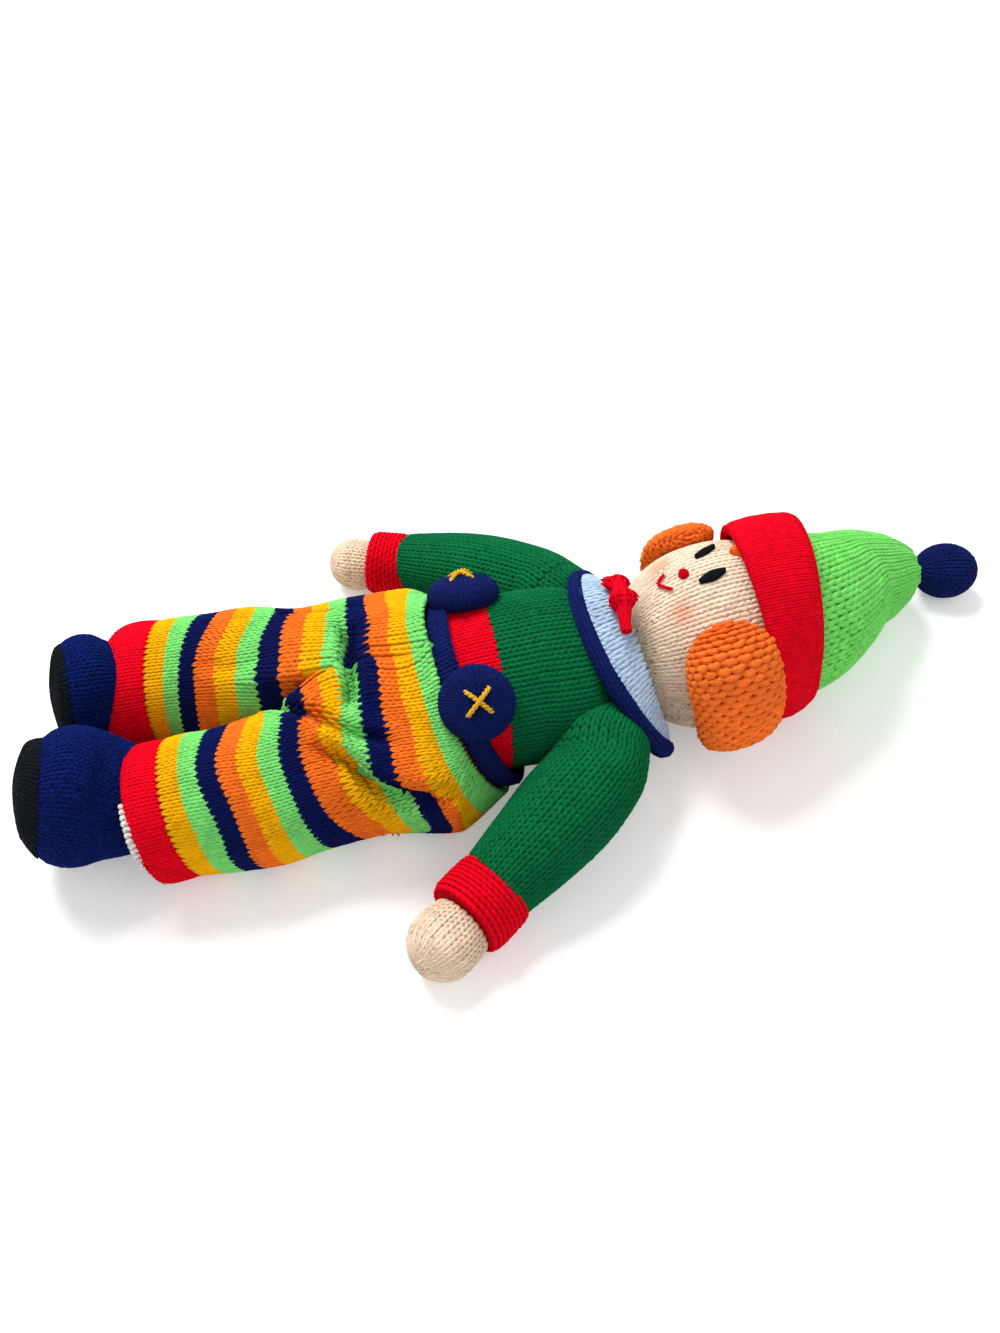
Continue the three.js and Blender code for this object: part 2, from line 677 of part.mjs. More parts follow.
// Trousers above the legs: a seat and a waistband, both higher at the back than at the front
const seatWiden = [legSpacing / 2 + legWideTop - hipsWide - seatTuck, seatFlare];
const seatDrop = clothFloor + flatDepth;
const seatTop = block(
  point(hipX - seatCutBack, -cutterReach, hipZ - seatCutLow),
  point(seatX, cutterReach, cutterReach),
);
const seatForm = (grow) => bodySlice(seatX, waistbandX - seamGap, {
  steps: 3,
  widen: seatWiden,
  lift: [clothThick, clothThick],
  drop: seatDrop,
  slant: [0, waistSlant],
  round: seatSquare,
  grow,
});
const seatUnder = without(bodySlice(hipX + 6, seatX, {
  steps: 2, widen: [seatWiden[0], seatWiden[0]], drop: seatDrop, round: seatSquare,
}), seatTop);
const seat = without(seatForm(0).add(seatUnder), legs.left.swing, legs.right.swing, ...bodyRooms);

const bandSlant = [waistSlant, waistSlant];
const bandRoom = bodySlice(waistbandX, beltX, {
  steps: 2,
  widen: [waistbandStand, waistbandStand],
  lift: waistbandRise,
  drop: seatDrop,
  slant: bandSlant,
  grow: seamGap,
});
const waistband = without(
  bodySlice(waistbandX, beltX, {
    steps: 2,
    widen: [waistbandStand, waistbandStand],
    lift: waistbandRise,
    drop: seatDrop,
    slant: bandSlant,
  }),
  bodySlice(waistbandX - 0.01, beltX + 0.01, {
    steps: 2,
    widen: [waistbandStand - clothThick, waistbandStand - clothThick],
    lift: waistbandHollow,
    slant: bandSlant,
    grow: seamGap,
  }),
  ...bodyRooms,
);

// Buttons: a domed disc, tilted to lie on the body
function buttonOf(name) {
  const { x, y } = buttonSpots[name];
  const wide = follow(bodyProfile, x, 1);
  const top = follow(bodyProfile, x, 2);
  const high = (top + flatDepth) / 2;
  const angle = Math.asin(y / wide);
  const normal = point(0, Math.sin(angle) * high, Math.cos(angle) * wide).normalize();
  const foot = point(x, y, top - high + high * Math.cos(angle)).addScaledVector(normal, -buttonSink);
  const rows = 4;
  const rise = buttonRim + buttonStand;
  const profile = [new THREE.Vector2(0, 0), new THREE.Vector2(buttonRadius - buttonBevel, 0)];
  for (let k = 0; k <= rows; k += 1) {
    const turn = (k / rows) * (Math.PI / 2);
    profile.push(new THREE.Vector2(
      k === rows ? 0 : buttonRadius * Math.cos(turn) ** 0.8, rise + buttonDome * Math.sin(turn)));
  }
  const tilt = new THREE.Quaternion().setFromUnitVectors(point(0, 1, 0), normal);
  const dome = new THREE.LatheGeometry(profile, 16).applyQuaternion(tilt).translate(foot.x, foot.y, foot.z);
  const button = without(solid(dome), ...bodyRooms, bandRoom, seatForm(seamGap));
  const bars = [45, 135].map((degrees) => {
    const line = point(Math.cos(radians(degrees)), 0, Math.sin(radians(degrees)));
    const spots = [-1, -0.5, 0, 0.5, 1].map((share) => {
      const out = (share * crossLength) / 2;
      const top = rise + buttonDome * Math.sqrt(1 - Math.abs(out / buttonRadius) ** 2.5);
      return line.clone().multiplyScalar(out).setY(top + yarn / 2 + seamGap);
    });
    return strand(spots, yarn / 2).applyQuaternion(tilt).translate(foot.x, foot.y, foot.z);
  });
  return { button, cross: solid(bars[0]).add(solid(bars[1])).subtract(solid(dome)), foot, normal };
}

// One strand of yarn through a row of places
function strand(spots, radius, count = 6) {
  const section = new THREE.Shape(Array.from({ length: count }, (_, k) => new THREE.Vector2(
    radius * Math.cos((k / count) * Math.PI * 2), radius * Math.sin((k / count) * Math.PI * 2))));
  const extrudePath = new THREE.CatmullRomCurve3(spots);
  const geometry = new THREE.ExtrudeGeometry(section, { steps: spots.length * 2, extrudePath });
  geometry.deleteAttribute('normal');
  geometry.deleteAttribute('uv');
  return outward(mergeVertices(geometry, 1e-4));
}

const buttons = { left: buttonOf('left'), right: buttonOf('right') };

// Collar: a pale band round the neck with a thick edge; angle 0 is the front, 90 the doll's right
const collarCount = 24;
function collarSection(k) {
  const angle = (k / collarCount) * Math.PI * 2;
  const [right, front] = [Math.sin(angle), Math.cos(angle)];
  const outerTop = chestTop + collarLift;
  const outerZ = (outerTop + collarBackHigh) / 2 + ((outerTop - collarBackHigh) / 2) * front;
  const outerX = Math.min(shoulderX + collarSlope * (outerTop - outerZ), neckX + collarBackReach);
  const outer = point(outerX, collarWide * right, outerZ);
  const inner = point(outerX + collarBand * (0.55 + 0.5 * front) * (front > -0.4 ? 1 : 0.9),
    (collarWide - collarDraw + collarFull * Math.abs(right)) * right,
    (outerZ - neckZ) * 0.96 + neckZ + Math.max(front, 0) * collarRise);
  return { outer, inner };
}

const collarLine = Array.from({ length: collarCount }, (_, k) => collarSection(k));
function collarForm(grow) {
  const sections = collarLine.map(({ outer, inner }) => {
    const across = inner.clone().sub(outer).normalize();
    const radial = point(0, outer.y, outer.z - neckZ).normalize();
    const normal = radial.addScaledVector(across, -radial.dot(across)).normalize();
    const corner = (base, acrossBy, normalBy) => base.clone()
      .addScaledVector(across, acrossBy).addScaledVector(normal, normalBy);
    const half = collarThick / 2 + grow;
    const hem = collarEdgeRadius + seamGap * 4 - grow;
    const low = [corner(outer, hem, -half), corner(inner, grow, -half)];
    const high = [corner(inner, grow, half), corner(outer, hem, half)];
    return [...low, ...high];
  });
  return solid(hoop(sections));
}

function collarEdgeForm() {
  const sections = collarLine.map(({ outer }, k) => {
    const next = collarLine[(k + 1) % collarCount].outer;
    const before = collarLine[(k + collarCount - 1) % collarCount].outer;
    const along = next.clone().sub(before).normalize();
    const radial = point(0, outer.y, outer.z - neckZ).normalize();
    const across = along.clone().cross(radial).normalize();
    const upward = across.clone().cross(along);
    return Array.from({ length: 6 }, (_, n) => {
      const angle = (n / 6) * Math.PI * 2;
      return outer.clone().addScaledVector(across, collarEdgeRadius * Math.cos(angle))
        .addScaledVector(upward, collarEdgeRadius * Math.sin(angle));
    });
  });
  return solid(hoop(sections));
}

const shoulderRooms = [arms.left.shoulderRoom, arms.right.shoulderRoom];
const collarRoom = collarForm(seamGap);
const collar = rested(without(collarForm(0), sweaterRoom, ...shoulderRooms, headRoom, ...tiltRooms));
const collarEdge = rested(without(collarEdgeForm(), sweaterRoom, ...shoulderRooms));

// Bow tie: two lobes that pinch in at a knot
const bowAt = point(neckX - bowFromNeck.back, neckY - bowFromNeck.left, chestTop + bowFromNeck.up);
const bowPath = [-0.5, 0, 0.5].map((share) => bowAt.clone().add(
  point(share * bowTurn, share * bowLength, -Math.abs(share) * bowSag)));
const bowRow = (place, wide, high) => [place, bowThick * wide, bowThick * high];
const bowSizes = [
  bowRow(0, 0.45, 0.4), bowRow(0.2, 0.62, 0.55), bowRow(0.38, 0.42, 0.36), bowRow(0.5, 0.5, 0.5),
  bowRow(0.62, 0.42, 0.36), bowRow(0.8, 0.62, 0.55), bowRow(1, 0.45, 0.4),
];
const bow = without(solid(stuffed({
  path: bowPath, sizes: bowSizes, startRound: 3, endRound: 3, steps: 9, around: 10,
})), collarRoom, headRoom);

// Hat: a rolled brim round the head, and a soft crown that flops towards the doll's right
function brimForm(grow) {
  const place = (plane, at, across, upward) => at - (across * plane[0] + upward * plane[1]);
  const rings = brimRoll.map(([share, draw]) => {
    return Array.from({ length: 24 }, (_, k) => {
      const angle = (k / 24) * Math.PI * 2;
      const radius = brimRadius + draw + grow;
      const [across, upward] = [radius * Math.cos(angle), radius * Math.sin(angle)];
      const front = place(brimSlant.front, brimStart, across, upward) - grow;
      const back = place(brimSlant.back, brimStart + brimLength, across, upward) + grow;
      const centre = onAxis(THREE.MathUtils.lerp(front, back, share));
      centre.z = brimRadius + seamGap;
      return centre.addScaledVector(headAcross, across).addScaledVector(headUp, upward);
    });
  });
  return solid(skin(rings, onAxis(brimStart - grow), onAxis(brimStart + brimLength + grow)));
}

const crownFrom = onAxis(crownStart);
const crownPath = [crownFrom, ...crownBends.map((place) => point(...place))];
const crownSizes = crownDraw.map(([share, draw]) => [share, crownRadius - draw, crownRadius - draw]);
const crownForm = (grow) => solid(stuffed({
  path: crownPath, sizes: crownSizes, endRound: crownTip, steps: 8, grow,
}));
const crown = rested(without(crownForm(0), headRoom));
const brim = rested(without(brimForm(0), headRoom, crownForm(seamGap)));
const brimRoom = brimForm(seamGap);

// Pompom on the tip of the hat
const tip = crownPath[crownPath.length - 1];
const tipAlong = point(...crownAim).normalize();
const pompomAt = tip.clone().addScaledVector(tipAlong, pompomLong + pompomGap);
pompomAt.z = pompomRadius - flatDepth;
const pompomPath = [-1, 0, 1].map((share) => pompomAt.clone()
  .addScaledVector(tipAlong.clone().setZ(0), share * pompomLong));
const pompomSizes = [[0, pompomRadius, pompomRadius], [1, pompomRadius, pompomRadius]];
const pompom = rested(solid(stuffed({
  path: pompomPath, sizes: pompomSizes, startRound: pompomLong, endRound: pompomLong, steps: 2,
})));

// Hair puffs at both sides of the head and a lock under the brim
function hairOf(name) {
  const side = sides[name];
  const stand = hairThick * 0.3;
  const path = hairAngles.map((degrees) => onHead(hairAt[name], side * degrees + faceTurn, stand).at);
  const swell = [[0, 0.4, 0.36], [0.25, 0.5, 0.47], [0.6, 0.52, 0.5], [1, 0.45, 0.4]];
  const sizes = swell.map(([place, thick, long]) => [place, hairThick * thick, hairLong[name] * long]);
  const form = hairLump(path, sizes, side);
  return rested(without(form, headRoom, brimRoom));
}

// A flat puff that lies along the head: its rings are wide along the head's axis.
function hairLump(path, sizes, side) {
  const curve = new THREE.CatmullRomCurve3(path);
  const steps = 9;
  const rings = [];
  for (let k = 0; k < steps; k += 1) {
    const share = (k + 0.5) / steps;
    const edge = Math.sqrt(Math.max(0, 1 - (Math.abs(share - 0.5) * 2) ** 3));
    const centre = curve.getPointAt(share);
    const along = curve.getTangentAt(share);
    const outwards = along.clone().cross(headAlong).multiplyScalar(side).normalize();
    const thick = follow(sizes, share, 1) * (0.55 + 0.45 * edge);
    const long = follow(sizes, share, 2) * edge;
    rings.push(Array.from({ length: 12 }, (_, n) => {
      const angle = (n / 12) * Math.PI * 2;
      return centre.clone().addScaledVector(headAlong, long * Math.cos(angle))
        .addScaledVector(outwards, thick * Math.sin(angle));
    }));
  }
  return solid(skin(rings, curve.getPointAt(0), curve.getPointAt(1)));
}

const lockShape = () => {
  const spots = lockFrom.map((distance) => onHead(distance, faceTurn, 1.2).at);
  const lock = stuffed({ path: spots, sizes: lockSizes, startRound: 2, steps: 2, around: 8 });
  return without(solid(lock), headRoom, brimRoom);
};

// Face: sewn eyes, nose and mouth, each lying on the head's skin
function leafOn(distance, degrees, slant) {
  const { at, outwards } = onHead(distance, degrees + faceTurn, 0);
  const shape = new THREE.Shape();
  shape.moveTo(0, -eyeLong / 2);
  shape.quadraticCurveTo(eyeWide, 0, 0, eyeLong / 2);
  shape.quadraticCurveTo(-eyeWide, 0, 0, -eyeLong / 2);
  const plate = new THREE.ExtrudeGeometry(shape, { depth: eyeDeep, bevelEnabled: false, curveSegments: 6 });
  const upright = headAlong.clone().applyAxisAngle(outwards, radians(slant));
  const across = upright.clone().cross(outwards).normalize();
  const basis = new THREE.Matrix4().makeBasis(across, across.clone().cross(outwards).negate(), outwards);
  plate.deleteAttribute('normal');
  plate.deleteAttribute('uv');
  const merged = outward(mergeVertices(plate, 1e-4).applyMatrix4(basis));
  merged.translate(at.x - outwards.x, at.y - outwards.y, at.z - outwards.z);
  return without(solid(merged), headRoom);
}

const noseAt = onHead(noseFrom, faceTurn, 0.8).at;
const nose = without(ball(noseRadius, noseAt, 1, 12), headRoom);
const mouthSpots = mouthPlaces
  .map(([distance, degrees]) => onHead(distance, degrees + faceTurn, mouthRadius).at);
const mouth = without(solid(strand(mouthSpots, mouthRadius)), headRoom);

// Body group
const torsoGroup = subGroup(point(sweaterX, 0, 0));
const waistAt = point(beltX, 0, 0);
addPiece(torsoGroup, 'sweater_body', rested(sweater), finishes.green, torsoGroup.position);
addPiece(torsoGroup, 'body_belt', rested(belt), finishes.red, waistAt);
addPiece(torsoGroup, 'body_hips', rested(hips), finishes.calico, waistAt);
addPiece(torsoGroup, 'trouser_seat', rested(seat), finishes.stripes, point(waistbandX, 0, 0));
addPiece(torsoGroup, 'trouser_waistband', rested(waistband), finishes.navy, point(waistbandX, 0, 0));
addPiece(torsoGroup, 'collar', collar, finishes.paleBlue, neckAt);
addPiece(torsoGroup, 'collar_edge', collarEdge, finishes.navy, neckAt);
addPiece(torsoGroup, 'bow_tie', bow, finishes.red, bowAt);

// Head group
const headGroup = subGroup(neckAt);
const headPiece = rested(without(solid(headShape(0)), neckRoom));
addPiece(headGroup, 'neck', neckBall, finishes.cream, neckAt);
addPiece(headGroup, 'head', headPiece, finishes.cream, neckAt);
addPiece(headGroup, 'eye_left', leafOn(eyeAt, -eyeSpread, eyeSlant), finishes.black, neckAt);
addPiece(headGroup, 'eye_right', leafOn(eyeAt, eyeSpread, -eyeSlant), finishes.black, neckAt);
addPiece(headGroup, 'nose', nose, finishes.red, noseAt);
addPiece(headGroup, 'mouth', mouth, finishes.red, neckAt);
addPiece(headGroup, 'forelock', lockShape(), finishes.orange, neckAt);
addPiece(headGroup, 'hat_brim', brim, finishes.red, onAxis(brimStart));
addPiece(headGroup, 'hat_crown', crown, finishes.lime, crownFrom);
addPiece(headGroup, 'pompom', pompom, finishes.navy, pompomAt);

for (const name of ['left', 'right']) {
  const arm = arms[name];
  const leg = legs[name];
  const armGroup = subGroup(arm.shoulder);
  const legGroup = subGroup(leg.hip);
  addPiece(armGroup, `arm_tie_${name}`, arm.tie, finishes.calico, arm.shoulder);
  addPiece(armGroup, `sleeve_${name}`, arm.sleeve, finishes.green, arm.shoulder);
  addPiece(armGroup, `sleeve_cuff_${name}`, arm.cuff, finishes.red, arm.shoulder);
  addPiece(armGroup, `hand_${name}`, arm.hand, finishes.cream, arm.shoulder);
  addPiece(legGroup, `trouser_leg_${name}`, leg.trouser, finishes.stripes, leg.hip);
  addPiece(legGroup, `trouser_cuff_${name}`, leg.cuff, finishes.red, leg.hip);
  addPiece(legGroup, `inner_leg_${name}`, leg.inner, finishes.calico, leg.hip);
  addPiece(legGroup, `shoe_${name}`, leg.shoe, finishes.blue, leg.hip);
  addPiece(legGroup, `shoe_sole_${name}`, leg.sole, finishes.black, leg.hip);
  addPiece(headGroup, `hair_${name}`, hairOf(name), finishes.orange, neckAt);
  addPiece(torsoGroup, `button_${name}`, buttons[name].button, finishes.navy, buttons[name].foot);
  addPiece(torsoGroup, `button_cross_${name}`, buttons[name].cross, finishes.gold, buttons[name].foot);
}

// The origin is the middle of the doll's footprint, on the table.
const bounds = new THREE.Box3().setFromObject(doll);
const centre = bounds.getCenter(point(0, 0, 0));
doll.position.set(-centre.x, -centre.y, -bounds.min.z);

export default doll;
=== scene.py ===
"""Dresses the knitted clown doll: every stitch is a small mesh laid on the skin of its piece.

Lengths in this file are millimetres in the doll's own layout, the one that its source uses: X runs from the
shoes to the hat, +Z is up and the doll's left side is -Y. ``Layout`` turns them into metres in the frame.
"""

import json
import logging
import math
from collections.abc import Callable, Sequence
from dataclasses import dataclass, field
from enum import Enum
from typing import Any

import bpy
import numpy as np
from mathutils import Matrix, Vector

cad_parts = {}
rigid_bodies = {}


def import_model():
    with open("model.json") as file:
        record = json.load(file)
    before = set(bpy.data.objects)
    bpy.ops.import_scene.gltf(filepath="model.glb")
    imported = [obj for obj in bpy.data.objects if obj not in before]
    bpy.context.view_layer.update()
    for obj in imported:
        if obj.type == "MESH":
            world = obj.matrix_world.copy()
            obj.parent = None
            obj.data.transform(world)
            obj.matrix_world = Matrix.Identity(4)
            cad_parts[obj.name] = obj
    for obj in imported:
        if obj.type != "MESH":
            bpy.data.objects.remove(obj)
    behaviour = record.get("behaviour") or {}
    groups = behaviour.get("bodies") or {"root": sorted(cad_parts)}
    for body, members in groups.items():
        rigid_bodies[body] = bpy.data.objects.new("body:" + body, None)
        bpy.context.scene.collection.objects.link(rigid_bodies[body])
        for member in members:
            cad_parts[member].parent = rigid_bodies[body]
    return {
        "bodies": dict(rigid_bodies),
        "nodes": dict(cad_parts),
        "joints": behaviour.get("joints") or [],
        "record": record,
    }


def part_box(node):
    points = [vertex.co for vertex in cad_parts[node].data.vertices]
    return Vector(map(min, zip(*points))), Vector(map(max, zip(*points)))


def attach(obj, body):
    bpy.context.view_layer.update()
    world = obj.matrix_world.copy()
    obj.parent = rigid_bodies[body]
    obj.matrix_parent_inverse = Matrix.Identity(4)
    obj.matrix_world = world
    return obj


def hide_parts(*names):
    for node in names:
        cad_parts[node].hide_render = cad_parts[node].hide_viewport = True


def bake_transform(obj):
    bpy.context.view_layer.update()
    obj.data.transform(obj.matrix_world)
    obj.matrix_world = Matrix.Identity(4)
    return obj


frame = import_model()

log = logging.getLogger("clown_doll")

Row = tuple[float, ...]
Rows = tuple[Row, ...]
Faces = list[tuple[int, ...]]
Strands = list[tuple[np.ndarray, np.ndarray]]  # axis of each strand, and its half width and half depth
SIDES = {"left": -1.0, "right": 1.0}
SEED = 7
MM = 0.001
REST_HEIGHT = 0.9  # height of a stitch's middle where it lies on the table
NECK = np.array([47.0, 1.4, 33.0])
UP = np.array([0.0, 0.0, 1.0])


def srgb(red: int, green: int, blue: int) -> tuple[float, float, float, float]:
    """Linear colour for a Blender socket from an sRGB colour of 0 to 255."""
    linear = [((c / 255 + 0.055) / 1.055) ** 2.4 if c > 10 else c / 255 / 12.92 for c in (red, green, blue)]
    return (*linear, 1.0)


class Stitch(Enum):
    """Ways in which the yarn lies on the outside of a piece."""

    KNIT = "knit_stitch"
    MOSS = "moss_bump"
    GARTER = "garter_bump"


@dataclass(frozen=True)
class Gauge:
    """Size of one stitch, and how thick its yarn is."""

    width: float = 4.2
    height: float = 2.8
    thick: float = 1.0
    stitch: Stitch = Stitch.KNIT
    fill: float = 1.0  # share of its own width that a stitch covers
    offset: bool = False  # every second row half a stitch further on


@dataclass(frozen=True)
class Finish:
    """Colour and surface of one yarn."""

    name: str
    slot: str
    colour: tuple[int, int, int]
    second: tuple[int, int, int]  # colour of the darker or marled plies
    marl: float = 0.25  # how much of the second colour shows
    striped: bool = False
    sheen: float = 0.3
    roughness: float = 0.95
    shine: float = 0.04


GREEN = Finish("green_yarn", "green_knit", (10, 104, 60), (6, 78, 44))
RED = Finish("red_yarn", "red_knit", (240, 6, 34), (196, 4, 28))
NAVY = Finish("navy_yarn", "navy_knit", (20, 32, 92), (13, 20, 60))
CREAM = Finish("cream_yarn", "cream_knit", (240, 215, 188), (222, 190, 160), 0.2)
FACE = Finish("face_yarn", "cream_knit", (250, 227, 199), (238, 206, 174), 0.2)
STRIPES = Finish("striped_yarn", "striped_knit", (245, 180, 20), (220, 150, 16), 0.2, striped=True, sheen=0.0)
BLUE = Finish("marled_blue_yarn", "blue_knit", (11, 34, 108), (6, 14, 48), 0.6)
BLACK = Finish("black_wool", "black_yarn", (22, 26, 30), (12, 14, 16), sheen=0.15)
ORANGE = Finish("orange_yarn", "orange_knit", (255, 126, 50), (255, 94, 32))
LIME = Finish("lime_yarn", "lime_knit", (126, 226, 108), (88, 190, 74))
PALE_BLUE = Finish("pale_blue_yarn", "pale_blue_knit", (184, 208, 232), (150, 178, 206))
GOLD = Finish("gold_wool", "gold_yarn", (238, 186, 48), (206, 146, 30))
WHITE = Finish("white_yarn", "cream_knit", (238, 236, 230), (214, 210, 202))
CALICO = Finish("calico", "filling", (233, 226, 210), (208, 198, 176), 0.3)

# Colours of the trouser stripes, counted from the cuff to the waistband
STRIPE_COLOURS = np.array([srgb(248, 182, 12), srgb(128, 228, 120), srgb(13, 22, 80), srgb(248, 118, 36)])
STRIPE_COUNT = 14


def sided(left: object, right: object) -> Any:
    """A dataclass field with one value for each side."""
    return field(default_factory=lambda: {"left": left, "right": right})


def smooth(rows: Sequence[Row] | np.ndarray, places: np.ndarray) -> np.ndarray:
    """Smooth values from a table of rows, each a place and its values.

    Args:
        rows: Rows of (place, value, value...), with rising places.
        places: Where the values are wanted.

    Returns:
        One row of values for each place.
    """
    table = np.asarray(rows, float)
    at, values = table[:, 0], table[:, 1:]
    before = np.maximum(np.arange(len(at)) - 1, 0)
    after = np.minimum(np.arange(len(at)) + 1, len(at) - 1)
    slopes = (values[after] - values[before]) / (at[after] - at[before])[:, None]
    row = np.clip(np.searchsorted(at, places, side="right") - 1, 0, len(at) - 2)
    span = at[row + 1] - at[row]
    t = np.clip((places - at[row]) / span, 0, 1)[:, None]
    span = span[:, None]
    rise = (2 * t**3 - 3 * t**2 + 1) * values[row] + (t**3 - 2 * t**2 + t) * span * slopes[row]
    return rise + (3 * t**2 - 2 * t**3) * values[row + 1] + (t**3 - t**2) * span * slopes[row + 1]


def unit(vectors: np.ndarray) -> np.ndarray:
    """The same vectors with length one."""
    return vectors / np.maximum(np.linalg.norm(vectors, axis=-1, keepdims=True), 1e-9)


def ease(low: float, high: float, values: np.ndarray) -> np.ndarray:
    """0 below low, 1 above high and smooth between them."""
    t = np.clip((values - low) / (high - low), 0, 1)
    return t * t * (3 - 2 * t)


def whole_turn(count: int) -> np.ndarray:
    """Angles of the places in a ring, evenly apart."""
    return np.arange(count) / count * math.tau


def marks_along(points: np.ndarray) -> np.ndarray:
    """Distance of each point of a line from the first one."""
    return np.concatenate([[0], np.cumsum(np.linalg.norm(np.diff(points, axis=0), axis=1))])


def turns_of(axes: np.ndarray) -> np.ndarray:
    """Turns about X, Y and Z, done in that order.

    Args:
        axes: The three axes after the turns, as the columns of one matrix for each place.

    Returns:
        Three angles for each place.
    """
    roll = np.arctan2(axes[:, 2, 1], axes[:, 2, 2])
    pitch = np.arcsin(np.clip(-axes[:, 2, 0], -1, 1))
    yaw = np.arctan2(axes[:, 1, 0], axes[:, 0, 0])
    return np.stack([roll, pitch, yaw], -1)


def waves(rows: Rows, x: np.ndarray, y: np.ndarray) -> np.ndarray:
    """Sum of waves, each given as a row of (height, length along x, length along y, phase)."""
    return sum(height * np.sin(x / long + y / wide + phase) for height, long, wide, phase in rows)


def rings_round(
    centre: np.ndarray, across: np.ndarray, upward: np.ndarray, wide: np.ndarray | float,
    high: np.ndarray | float, angle: np.ndarray,
) -> np.ndarray:
    """Rings of points round the places of an axis.

    Args:
        centre: Places on the axis.
        across: Direction of each ring's width, or one for all.
        upward: Direction of each ring's height, or one for all.
        wide: Half width of each ring.
        high: Half height of each ring.
        angle: Angles of the points in a ring.

    Returns:
        Array of (ring, place round the ring, xyz).
    """
    across, upward = (np.broadcast_to(way, centre.shape)[:, None] for way in (across, upward))
    rings = centre[:, None] + across * (wide * np.cos(angle))[..., None]
    return rings + upward * (high * np.sin(angle))[..., None]


class Route:
    """A smooth line through a few points, measured along its length."""

    def __init__(self, points: list[np.ndarray]) -> None:
        """Lays the line.

        Args:
            points: Places that it passes, in order.
        """
        places = np.asarray(points, float)
        marks = marks_along(places)
        fine = np.linspace(0, marks[-1], 400)
        self.line = smooth(np.column_stack([marks, places]), fine)
        self.marks = marks_along(self.line)
        self.length = float(self.marks[-1])
        self.headings = unit(np.gradient(self.line, axis=0))

    def at(self, distances: np.ndarray) -> tuple[np.ndarray, np.ndarray]:
        """Places and headings at distances along the line."""
        pick = [np.interp(distances, self.marks, column) for column in (*self.line.T, *self.headings.T)]
        return np.stack(pick[:3], -1), unit(np.stack(pick[3:], -1))


@dataclass
class Surface:
    """A knitted surface as a net of points: rings along the rows, with the same count in each.

    Attributes:
        points: Array of (ring, place round the ring, xyz).
        loop: True where the last ring joins the first, as on the edge of the collar.
    """

    points: np.ndarray
    loop: bool = False

    def lengths(self) -> np.ndarray:
        """Mean distance of each ring from the first, along the surface."""
        points = self.points
        if self.loop:
            points = np.concatenate([points, points[:1]])
        steps = np.linalg.norm(np.diff(points, axis=0), axis=-1).mean(1)
        return np.concatenate([[0], np.cumsum(steps)])

    def normals(self) -> np.ndarray:
        """Directions out of the surface."""
        if self.loop:
            along = np.roll(self.points, -1, 0) - np.roll(self.points, 1, 0)
        else:
            along = np.gradient(self.points, axis=0)
        across = np.roll(self.points, -1, 1) - np.roll(self.points, 1, 1)
        normal = unit(np.cross(across, along))
        outward = self.points - self.points.mean(1, keepdims=True)
        return -normal if (normal * outward).sum() < 0 else normal

    def facing_up(self) -> np.ndarray:
        """How much each point faces up: 0 below and a little above the sides, 1 on top."""
        return ease(-0.05, 0.4, self.normals()[..., 2])

    def evenly(self, step: float) -> "Surface":
        """The same surface with its rings evenly apart.

        Args:
            step: Distance between two rings.

        Returns:
            The new surface.
        """
        marks = self.lengths()
        count = max(3, round(marks[-1] / step))
        wanted = np.linspace(0, marks[-1], count + 1)[: -1 if self.loop else None]
        points = np.concatenate([self.points, self.points[:1]]) if self.loop else self.points
        flat = points.reshape(len(points), -1)
        even = np.stack([np.interp(wanted, marks, column) for column in flat.T], -1)
        return Surface(even.reshape(len(wanted), -1, 3), self.loop)

    def moved(self, distance: np.ndarray | float) -> "Surface":
        """The surface moved out by a distance, or by one for each point."""
        shift = np.broadcast_to(np.asarray(distance, float), self.points.shape[:2])
        return Surface(self.points + self.normals() * shift[..., None], self.loop)

    def resting(self, height: float = REST_HEIGHT) -> "Surface":
        """The surface as it lies on the table.

        Args:
            height: Lowest height of a point.

        Returns:
            The new surface.
        """
        soft = 2.0  # how far above that height the cloth starts to flatten
        points = self.points.copy()
        low = points[..., 2]
        flattened = height + soft * np.exp((low - height - soft) / soft)
        points[..., 2] = np.where(low < height + soft, flattened, low)
        return Surface(points, self.loop)

    def softened(self, passes: int) -> "Surface":
        """The surface with its sharpest bends drawn smooth, away from its ends.

        Args:
            passes: How many times it is smoothed.

        Returns:
            The new surface.
        """
        points = self.points.copy()
        for _ in range(passes):
            beside = (np.roll(points, 1, 1) + np.roll(points, -1, 1)) / 2
            points[1:-1] = (2 * points[1:-1] + beside[1:-1] + (points[2:] + points[:-2]) / 2) / 4
        return Surface(points, self.loop)

    def sample(self, rings: np.ndarray, turns: np.ndarray) -> np.ndarray:
        """Points between those of the net.

        Args:
            rings: Fractional ring numbers.
            turns: Places round the rings, from 0 to 1.

        Returns:
            One point for each.
        """
        count, around = self.points.shape[:2]
        low = np.floor(rings).astype(int)
        side = (turns % 1) * around
        left = np.floor(side).astype(int)
        r, s = (rings - low)[..., None], (side - left)[..., None]
        if self.loop:
            a, b = low % count, (low + 1) % count
        else:
            a, b = np.clip(low, 0, count - 1), np.clip(low + 1, 0, count - 1)
        c, d = left % around, (left + 1) % around
        grid = self.points
        return (grid[a, c] * (1 - r) + grid[b, c] * r) * (1 - s) + (grid[a, d] * (1 - r) + grid[b, d] * r) * s


